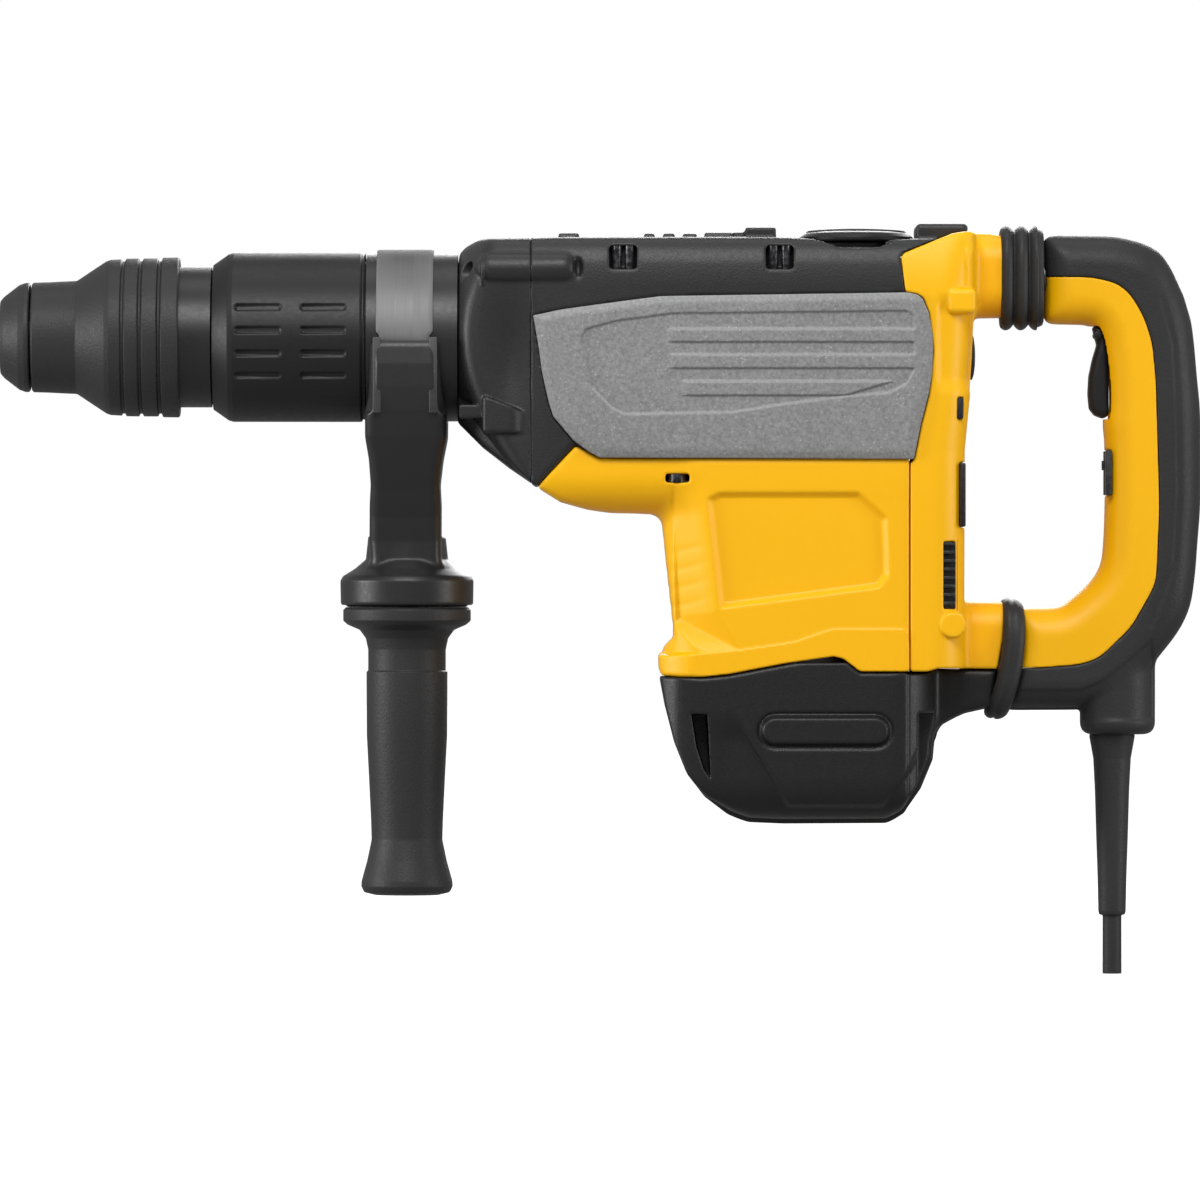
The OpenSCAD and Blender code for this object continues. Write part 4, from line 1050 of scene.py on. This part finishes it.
def lower_boot():
    """Flattened tube swept round the lower arm, tilted."""
    centre_x, centre_z, tilt = 503.3, -160.9, math.radians(8.6)
    around, section = 128, 28
    sweep = 2 * math.pi * np.arange(around)[:, None] / around
    turn = 2 * math.pi * np.arange(section)[None, :] / section
    across, up = superellipse(sweep, 3.4)
    out, along = 4.1 * np.cos(turn), 5.7 * np.sin(turn)
    # a groove runs round the outside
    out = np.where(out > 0, out * (1 - 0.22 * bell(along, 0, 1.0)), out)
    y = 21.0 * across + out * np.cos(sweep)
    z = 26.6 * up + out * np.sin(sweep)
    x = along + 1.9 - 3.4 * (z / 27.0) ** 2
    rings = np.stack([centre_x + x * math.cos(tilt) + z * math.sin(tilt), y,
                      centre_z + z * math.cos(tilt) - x * math.sin(tilt)], -1)
    ring_mesh("lower_boot_ring", rings, "soft_rubber", body="rear_handle",
              replaces="lower_boot")


def trigger():
    grid = Grid((541, 562), (0, 12), (-43, 8), 0.4)
    x, y, z = grid.axes
    shape = round_meet(grid.profile(TRIGGER_SIDE, 0.6), y - 10.6, 3.5)
    # hollow down the middle of the finger face
    shape = shape + 0.7 * bell(y, 0, 4.5) * fade(550, 545, x)
    shape = np.minimum(shape, grid.rod_y(TRIGGER_X, TRIGGER_Z, -15, 15, 1.9))
    shape = np.maximum(shape, x - 554)
    skin("trigger_lever", shape, grid, "black_satin", "trigger", "trigger")


# ------------------------------------------------------------------ side handle
YOKE_EDGE = [    # (y, z) down the -Y edge
    (-49, -1), (-50.2, -14), (-49.8, -25), (-47.4, -37), (-42.8, -50), (-36.4, -63),
    (-29.2, -77), (-23.4, -90), (-20.2, -102), (-19.6, -118)]
YOKE_SIDE = [
    (185.75, -0.95), (220, -0.95), (220.8, -21.25), (222, -30.25), (223.7, -37.25),
    (223.6, -50.25), (221.5, -61.25), (220.1, -73.75), (220.7, -83.75), (220.7, -101.25),
    (220.8, -111.25), (224, -119.25), (182.5, -119.25), (185.75, -111.25), (185, -101.25),
    (185.2, -83.75), (185.8, -73.75), (185, -61.25), (183.2, -50.25), (183.3, -37.25),
    (185, -30.25), (185.5, -21.25)]
YOKE_COLLAR = [    # (radius, z)
    (-5, -134.76), (29.9, -134.76), (30.2, -133.8), (32.4, -133.8), (33.1, -133.0),
    (33.3, -121.6), (32.0, -119.3), (26, -115.6), (20.6, -111), (19.4, -100), (-5, -100)]
BOLT_SEAT_HALF, BOLT_BLOCK_HALF = 9.4, 8.9
# Turned outlines are (radius, position along the axis, corner radius).
GRIP = [
    (4.3, -134.8, 0), (30.4, -134.8, .8), (31.9, -136.2, 1.0), (31.9, -141.6, 1.2),
    (29.6, -143.6, 1.0), (23.6, -146.2, 2), (20.6, -150.4, 2), (19.4, -156, 3),
    (19.4, -166.4, .6), (20.25, -167.2, .6), (20.1, -199, 10), (19.0, -220, 10),
    (18.0, -241, 8), (17.7, -251, 8), (19.9, -261.5, 6), (22.7, -271.6, 3),
    (22.9, -274.4, 2), (21.4, -277.4, 2), (15.0, -278.9, 2), (13.6, -277.4, 1),
    (4.3, -277.4, 0)]


def yoke():
    grid = Grid((168, 239), (0, 52), (-135, 2), 0.7)
    x, y, z = grid.axes
    front = polygon(y, z, YOKE_EDGE + [(-edge_y, edge_z) for edge_y, edge_z in YOKE_EDGE[::-1]])
    shape = meet(round_meet(grid.profile(YOKE_SIDE, 1.0), front, 5.0), z + 1.2, 1.5)
    # wide chamfers on both upright edges of the upper fork, fading out lower down
    strength = fade(-43, -37, z)
    for side in (-1, 1):
        edge_x = 203.4 + side * 17.2
        plane = (side * (x - edge_x) * 0.86 + (y - 49.6) * 0.50) + 2.2
        shape = np.where(z > -46, meet(shape, plane - (1 - strength) * 6, 0.5), shape)
    reach = np.sqrt((x - YOKE_X) ** 2 + y ** 2)
    shape = join(shape, polygon(reach, z, YOKE_COLLAR), 1.6)
    shape = cut(shape,
                grid.rod_x(160, 250, 44.1),
                grid.rod_z(YOKE_X, -140, -40, 4.8),
                grid.box((YOKE_X - BOLT_SEAT_HALF, YOKE_X + BOLT_SEAT_HALF),
                         (-BOLT_SEAT_HALF, BOLT_SEAT_HALF), (-56, -30)))
    skin("side_handle_yoke", shape, grid, "black_metal", "side_handle", "handle_yoke")


def clamp_band():
    """Steel strap round the barrel, narrowed where it enters the yoke, and its bolt block."""
    start, width, outer, inner = 188.75, 28.15, 43.85, 42.18
    angles = turn_angles(256)
    z = 43.8 * np.sin(angles)
    narrowing = 1.6 * fade(2.4, -0.2, z) * fade(-9, -1.5, z)
    across = np.linspace(0, 1, 24)
    outer_radius = np.full(24, outer)
    outer_radius[[0, -1]] -= 0.35
    position = (start + narrowing
                + (width - 2 * narrowing) * np.concatenate([across, across[::-1]])[:, None])
    radius = np.concatenate([outer_radius, np.full(24, inner)])[:, None] + 0 * angles
    ob = ring_mesh("clamp_band_strap", around_x(position, radius, angles), "band_steel")
    split = ob.modifiers.new("edge", "EDGE_SPLIT")
    split.split_angle = math.radians(40)
    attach(ob, "side_handle")
    register("clamp_band")
    half = BOLT_BLOCK_HALF
    rounded_cuboid("clamp_band_block", (YOKE_X - half, -half, -49.8),
                   (YOKE_X + half, half, -42.9), 0.8, "band_steel", "side_handle")


def side_grip():
    lathe("side_grip_rubber", GRIP, "soft_rubber", segments=160, upright_x=YOKE_X,
          body="side_grip", replaces="side_grip")


# ------------------------------------------------------------------ nose and barrel
NOSE_CAP = [
    (13.65, 12.6, 0.2), (13.65, 2.6, 0.5), (14.8, 0.35, 0.4), (18.2, 0.35, 1.2),
    (20.5, 2.4, 1.6), (26.2, 9.8, 3), (27.3, 12.9, 1.4), (27.3, 14.6, 0.5),
    (26.4, 15.3, 0.3), (17.3, 15.3, 0.2), (17.3, 12.9, 0.1)]
LOCKING_SLEEVE = [
    (22.1, 16.2, .2), (26.6, 16.2, .3), (27.4, 17.0, .4), (27.6, 24, 2), (28.3, 38.6, 2.2),
    (33.4, 46.2, 3), (38.0, 53.2, 3.0), (38.8, 55.5, 1), (39.1, 60.9, .5), (38.0, 61.6, .3),
    (38.0, 62.6, .3), (39.4, 63.4, .5), (39.5, 69.6, .5), (38.1, 70.3, .3), (38.1, 71.3, .3),
    (39.5, 72.1, .5), (39.5, 79.1, .5), (38.1, 79.8, .3), (38.1, 80.9, .3), (39.9, 81.7, .6),
    (40.0, 89.4, .5), (39.4, 90.0, .3), (35.4, 90.0, .2), (35.4, 62, .5), (27, 52, .5),
    (23.1, 50, .2), (23.1, 22, .1), (22.1, 22, .1)]
BARREL = [
    (35.2, 106.7, .2), (36.2, 106.9, .4), (41.6, 114.6, 1.2), (42.2, 117, 1.5),
    (42.25, 180.4, .5), (41.9, 181.2, .3), (41.0, 181.5, .2), (41.0, 182.3, .2),
    (41.8, 182.6, .2), (41.9, 183.0, .1)]
BARREL_INNER = [(37.8, 183.0), (37.8, 109.9), (36.3, 107.9), (35.2, 107.4)]
BARREL_SLOT_DEGREES = (19.7, 3.8, -11.9, -27.8)      # repeated on the -Y side
BARREL_SLOT_SPANS = ((118.6, 141.4), (151.2, 173.6))


def barrel_slots(x, angles):
    """Sunk slots in two rows along the barrel, deeper towards their front ends."""
    height = np.zeros_like(x)
    for degrees in BARREL_SLOT_DEGREES:
        for centre in (degrees, 180 - degrees):
            turn = (angles - math.radians(centre) + math.pi) % (2 * math.pi) - math.pi
            for start, end in BARREL_SLOT_SPANS:
                slot = rounded_box((x, turn * 42.0), (start, end), (-1.75, 1.75), corner=1.3)
                depth = 1.0 + 1.3 * np.clip((end - 6 - x) / (end - start), 0, 1)
                height -= depth * fade(0.25, -0.55, slot)
    return height


def nose():
    lathe("nose_cap_rubber", NOSE_CAP, "soft_rubber", segments=192, body="spindle",
          replaces="nose_cap")
    lathe("locking_sleeve_rubber", LOCKING_SLEEVE, "soft_rubber", segments=256,
          body="locking_sleeve", replaces="locking_sleeve")
    relief("barrel_sleeve_skin", BARREL, BARREL_INNER, barrel_slots, "black_satin",
           segments=540, step=0.55, body="root", replaces="barrel_sleeve")


# ------------------------------------------------------------------ cord, dials, small parts
CORD = [
    (0.01, -165, 0), (4.6, -165, .4), (4.6, -197.6, .2), (11.2, -197.9, .3),
    (11.4, -199.4, .5), (9.4, -210.5, 3), (8.6, -226, 6), (7.9, -250, 8), (7.2, -270, 6),
    (6.9, -286.6, 1), (6.5, -288.4, .6), (5.0, -288.8, .3), (4.75, -289.4, .2),
    (4.75, -317.8, .2), (4.4, -318, .1), (0.01, -318, 0)]
DIAL_DISC = [
    (0.01, 47.6, 0), (27.9, 47.6, .4), (28.4, 48.2, .5), (28.4, 49.9, .8), (25.5, 52.0, 3),
    (18, 52.8, 4), (0.01, 53.2, 0)]
DIAL_STEM = [(0.01, 34.2, 0), (7.9, 34.2, .4), (7.9, 47.7, .1), (0.01, 47.7, 0)]
SPEED_WHEEL = [
    (0.01, 484.7, 0), (11.2, 484.7, .2), (11.7, 485.0, .1), (11.7, 486.0, .3),
    (9.0, 486.9, 2.0), (5.0, 487.4, 1.0), (3.0, 487.5, .2), (2.6, 487.2, .2)]


def power_cord():
    lathe("power_cord_sheath", CORD, "soft_rubber", segments=96, upright_x=CORD_X,
          body="rear_handle", replaces="power_cord")


def mode_dial():
    """Domed disc on a stem, with a finger bar along X that has a slit near its front end."""
    lathe("mode_dial_disc", DIAL_DISC, "black_satin", segments=192, upright_x=MODE_DIAL_X,
          body="mode_dial", replaces="mode_dial")
    lathe("mode_dial_stem", DIAL_STEM, "black_satin", segments=64, upright_x=MODE_DIAL_X,
          body="mode_dial")
    grid = Grid((398, 458), (0, 8), (50, 56), 0.4)
    x, y, z = grid.axes
    plan = rounded_box((x, y), (MODE_DIAL_X - 25, MODE_DIAL_X + 25), (-5.2, 5.2), corner=5.0)
    shape = round_meet(plan, z - (54.3 - 0.0018 * (x - MODE_DIAL_X) ** 2), 1.2)
    shape = np.maximum(shape, 51.0 - z)
    slit = grid.box((404.5, 412), (-0.7, 0.7), (53.2, 60), corner=0.2)
    skin("mode_dial_bar", cut(shape, slit, blend=0.2), grid, "black_satin", "mode_dial")


def vent_screens():
    """Dark screens and louvres behind the side vents of the rear cover."""
    for side, word in ((-1, "right"), (1, "left")):
        rounded_cuboid("vent_screen_rear_" + word, (469.2, 41.5, -137), (477.4, 44.5, -101),
                       0.3, "black_plastic", "root", side)
        for k in range(8):
            z = -133.6 + 4.2 * k
            rounded_cuboid("vent_louvre_%s_%d" % (word, k), (470.4, 44.4, z),
                           (476.2, 48.0, z + 1.6), 0.25, "black_plastic", "root", side)


def spring(name, start, end, z, radius, wire, turns, replaces, closed_ends=False):
    """Helical wire along X that spans two bodies; closed_ends packs its end turns."""
    section, stations = 8, turns * 32 + 1
    t = np.linspace(0, turns, stations)
    length = end - start - 2 * wire
    if closed_ends:
        x = start + wire + np.interp(t, [0, 1, turns - 1, turns],
                                     [0, 2.04 * wire, length - 2.04 * wire, length])
    else:
        x = start + wire + t / turns * length
    turn = 2 * np.pi * t[:, None]
    around = 2 * np.pi * np.arange(section)[None, :] / section
    reach = radius + wire * np.cos(around)
    points = around_x(x[:, None] + wire * np.sin(around), reach + 0 * turn, turn, z)
    points = points.reshape(-1, 3)
    sides = ring_faces(stations, section, closed=False)[:, [0, 3, 2, 1]]
    first_cap = [[3, 2, 1, 0], [7, 4, 3, 0], [7, 6, 5, 4]]
    last_cap = np.array([[0, 1, 2, 3], [0, 3, 4, 7], [4, 5, 6, 7]]) + (stations - 1) * section
    faces = outward(points, np.vstack([sides, first_cap, last_cap]))
    ob = quad_mesh(name, points, faces, "hardened_steel")
    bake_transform(ob)
    register(replaces)


def springs():
    spring("handle_coil_spring", 485, 529, z=ARM_Z, radius=8.6, wire=1.4, turns=9,
           replaces="handle_spring", closed_ends=True)
    spring("sleeve_coil_spring", 63.2, 73.6, z=0, radius=20, wire=1.1, turns=3,
           replaces="sleeve_spring")


def side_fittings():
    """Clamp band legs, slot inserts and slot plates on both sides."""
    for side, word in ((-1, "right"), (1, "left")):
        for k, (start, end) in enumerate(((187.3, 191.2), (215.2, 219.2))):
            rounded_cuboid("clamp_band_leg_%s_%d" % (word, k), (start, 44.6, -38.5),
                           (end, 49.4, -0.8), 0.5, "leg_steel", "side_handle", side)
        rounded_cuboid("rear_slot_insert_" + word, (477.4, 40.0, -41.4),
                       (480.2, 46.6, -30.9), 0.2, "black_plastic_shaded", "root", side)
        rounded_cuboid("lock_slot_plate_" + word, (552.3, 4.35, -78.7),
                       (555.3, 17.0, -56.7), 0.4, "black_plastic", "rear_handle", side)


def speed_dial():
    """Thumb wheel with a knurled edge and a plain face."""
    def knurl(x, angles):
        return np.where((x > 484.9) & (x < 486.5), 0.35 * np.abs(np.sin(18 * angles)) - 0.35,
                        0.0)
    relief("speed_dial_wheel", SPEED_WHEEL, [(0.01, 487.2)], knurl, "black_satin",
           segments=288, step=0.4, z=SPEED_DIAL_Z, body="speed_dial", replaces="speed_dial")


def rating_plate():
    rounded_cuboid("blank_rating_plate", (478.6, -46.0, -94.9), (481.5, 46.0, -63.2), 0.8,
                   "black_plastic_shaded", "root")


# ------------------------------------------------------------------ CAD pieces kept as they are
# finish and the pieces that wear it; any other piece is black plastic
CAD_FINISHES = {
    "black_metal": "tool_holder barrel",
    "bright_steel": "locking_rollers front_bearing spindle_bearing gear_bearings "
                    "motor_bearings handle_pivot_pin striker beat_piece wrist_pin",
    "hardened_steel": "sleeve_spring hammer_tube bevel_ring_gear lock_ring connecting_rod "
                      "crankshaft crank_gear clutch_gear bevel_pinion motor_shaft "
                      "handle_spring",
    "soft_rubber": "front_seal",
    "screw_steel": "housing_screws cover_screws clamp_bolt",
    "cast_aluminium": "bearing_bridge gearcase_floor piston",
    "lamination_steel": "stator armature",
    "copper_brass": "brush_holders commutator",
    "carbon": "carbon_brushes",
    "control_board": "control_module",
    "black_satin": "fan lock_slider",
}


def finish_cad_pieces():
    finish_of = {node: finish for finish, nodes in CAD_FINISHES.items()
                 for node in nodes.split()}
    for node, ob in frame["nodes"].items():
        if ob.hide_render:
            continue
        ob.data.materials.clear()
        ob.data.materials.append(MATERIALS[finish_of.get(node, "black_plastic")])
        for face in ob.data.polygons:
            face.material_index = 0
        bevel = ob.modifiers.new("edge", "BEVEL")
        bevel.width = 0.00025
        bevel.segments = 2
        bevel.limit_method = "ANGLE"
        bevel.angle_limit = math.radians(38)


# ------------------------------------------------------------------ studio
FLOOR_TILES, FLOOR_TILE, FLOOR_Z = 8, 4000, -326    # millimetres
TOOL_CENTRE = (0.3, 0, -0.12)
# name, location, aim, width, height, power
LIGHTS = (
    ("key", (0.15, -1.65, 1.38), TOOL_CENTRE, 1.1, 0.9, 31),
    ("left_box", (-1.45, -0.45, 0.12), (0.2, 0, -0.05), 0.8, 0.7, 19),
    ("right_strip", (1.85, -0.50, 0.05), (0.4, 0, -0.1), 0.35, 0.9, 8),
    ("top", (0.3, 0.1, 1.5), (0.3, 0, 0), 1.2, 0.6, 4),
    ("rear_key", (0.65, 2.0, 0.75), TOOL_CENTRE, 1.2, 0.9, 24))
CAMERA_DISTANCE, VIEW_WIDTH, SENSOR = 6.0, 0.6, 36


def studio_floor():
    """Pale floor that glows for the camera and fades to white away from the machine."""
    shader = Shader("paper_floor")
    mottle = shader.noise(Scale=3.0, Detail=4.0)
    distance = shader.node("VectorMath", shader.coords, operation="LENGTH", output="Value")
    glow = shader.node("MapRange", distance, **{
        "From Min": 0.55, "From Max": 1.7, "To Min": 0.80, "To Max": 1.0})
    seen = shader.node("LightPath", output="Is Camera Ray")
    shader.surface({
        "Base Color": shader.ramp(mottle, (0.3, 0.27), (0.7, 0.31)),
        "Roughness": 0.9,
        "Specular IOR Level": 0.05,
        "Emission Color": (1, 1, 1, 1),
        "Emission Strength": shader.math("MULTIPLY", seen, glow)})
    row = FLOOR_TILES + 1
    points = [(300 + (i - FLOOR_TILES // 2) * FLOOR_TILE, (j - FLOOR_TILES // 2) * FLOOR_TILE,
               FLOOR_Z) for j in range(row) for i in range(row)]
    faces = [(j * row + i, j * row + i + 1, (j + 1) * row + i + 1, (j + 1) * row + i)
             for j in range(FLOOR_TILES) for i in range(FLOOR_TILES)]
    quad_mesh("studio_floor", points, faces, "paper_floor")


def lights():
    for name, location, aim, width, height, power in LIGHTS:
        lamp = bpy.data.lights.new(name, "AREA")
        lamp.shape = "RECTANGLE"
        lamp.size = width
        lamp.size_y = height
        lamp.energy = power
        ob = bpy.data.objects.new(name, lamp)
        ob.location = location
        direction = Vector(aim) - Vector(location)
        ob.rotation_euler = direction.to_track_quat("-Z", "Y").to_euler()
        bpy.context.scene.collection.objects.link(ob)


def world():
    """White surroundings, full strength for the camera and weaker as a light."""
    new = bpy.data.worlds.new("studio")
    bpy.context.scene.world = new
    new.use_nodes = True
    nodes, links = new.node_tree.nodes, new.node_tree.links
    background = nodes["Background"]
    background.inputs["Color"].default_value = (1.0, 1.0, 1.0, 1)
    path = nodes.new("ShaderNodeLightPath")
    strength = nodes.new("ShaderNodeMapRange")
    links.new(path.outputs["Is Camera Ray"], strength.inputs["Value"])
    strength.inputs["To Min"].default_value = 0.36
    strength.inputs["To Max"].default_value = 1.0
    links.new(strength.outputs["Result"], background.inputs["Strength"])


def camera():
    """Long lens looking along +Y at the whole side."""
    lens = bpy.data.cameras.new("camera")
    lens.lens = SENSOR * CAMERA_DISTANCE / VIEW_WIDTH
    lens.sensor_width = SENSOR
    lens.clip_end = 40
    ob = bpy.data.objects.new("camera", lens)
    ob.location = (0.3, -CAMERA_DISTANCE, -0.13125)
    ob.rotation_euler = (math.pi / 2, 0, 0)
    bpy.context.scene.collection.objects.link(ob)
    bpy.context.scene.camera = ob
    bpy.context.scene.view_settings.view_transform = "Standard"


for build in (gear_housing, front_housing, side_covers, motor_housing, end_cap, rear_cover,
              rear_handle, upper_bellows, lower_boot, trigger, yoke, nose, clamp_band,
              side_grip, power_cord, mode_dial, vent_screens, springs, side_fittings,
              speed_dial, rating_plate, finish_cad_pieces, studio_floor, lights, world,
              camera):
    build()
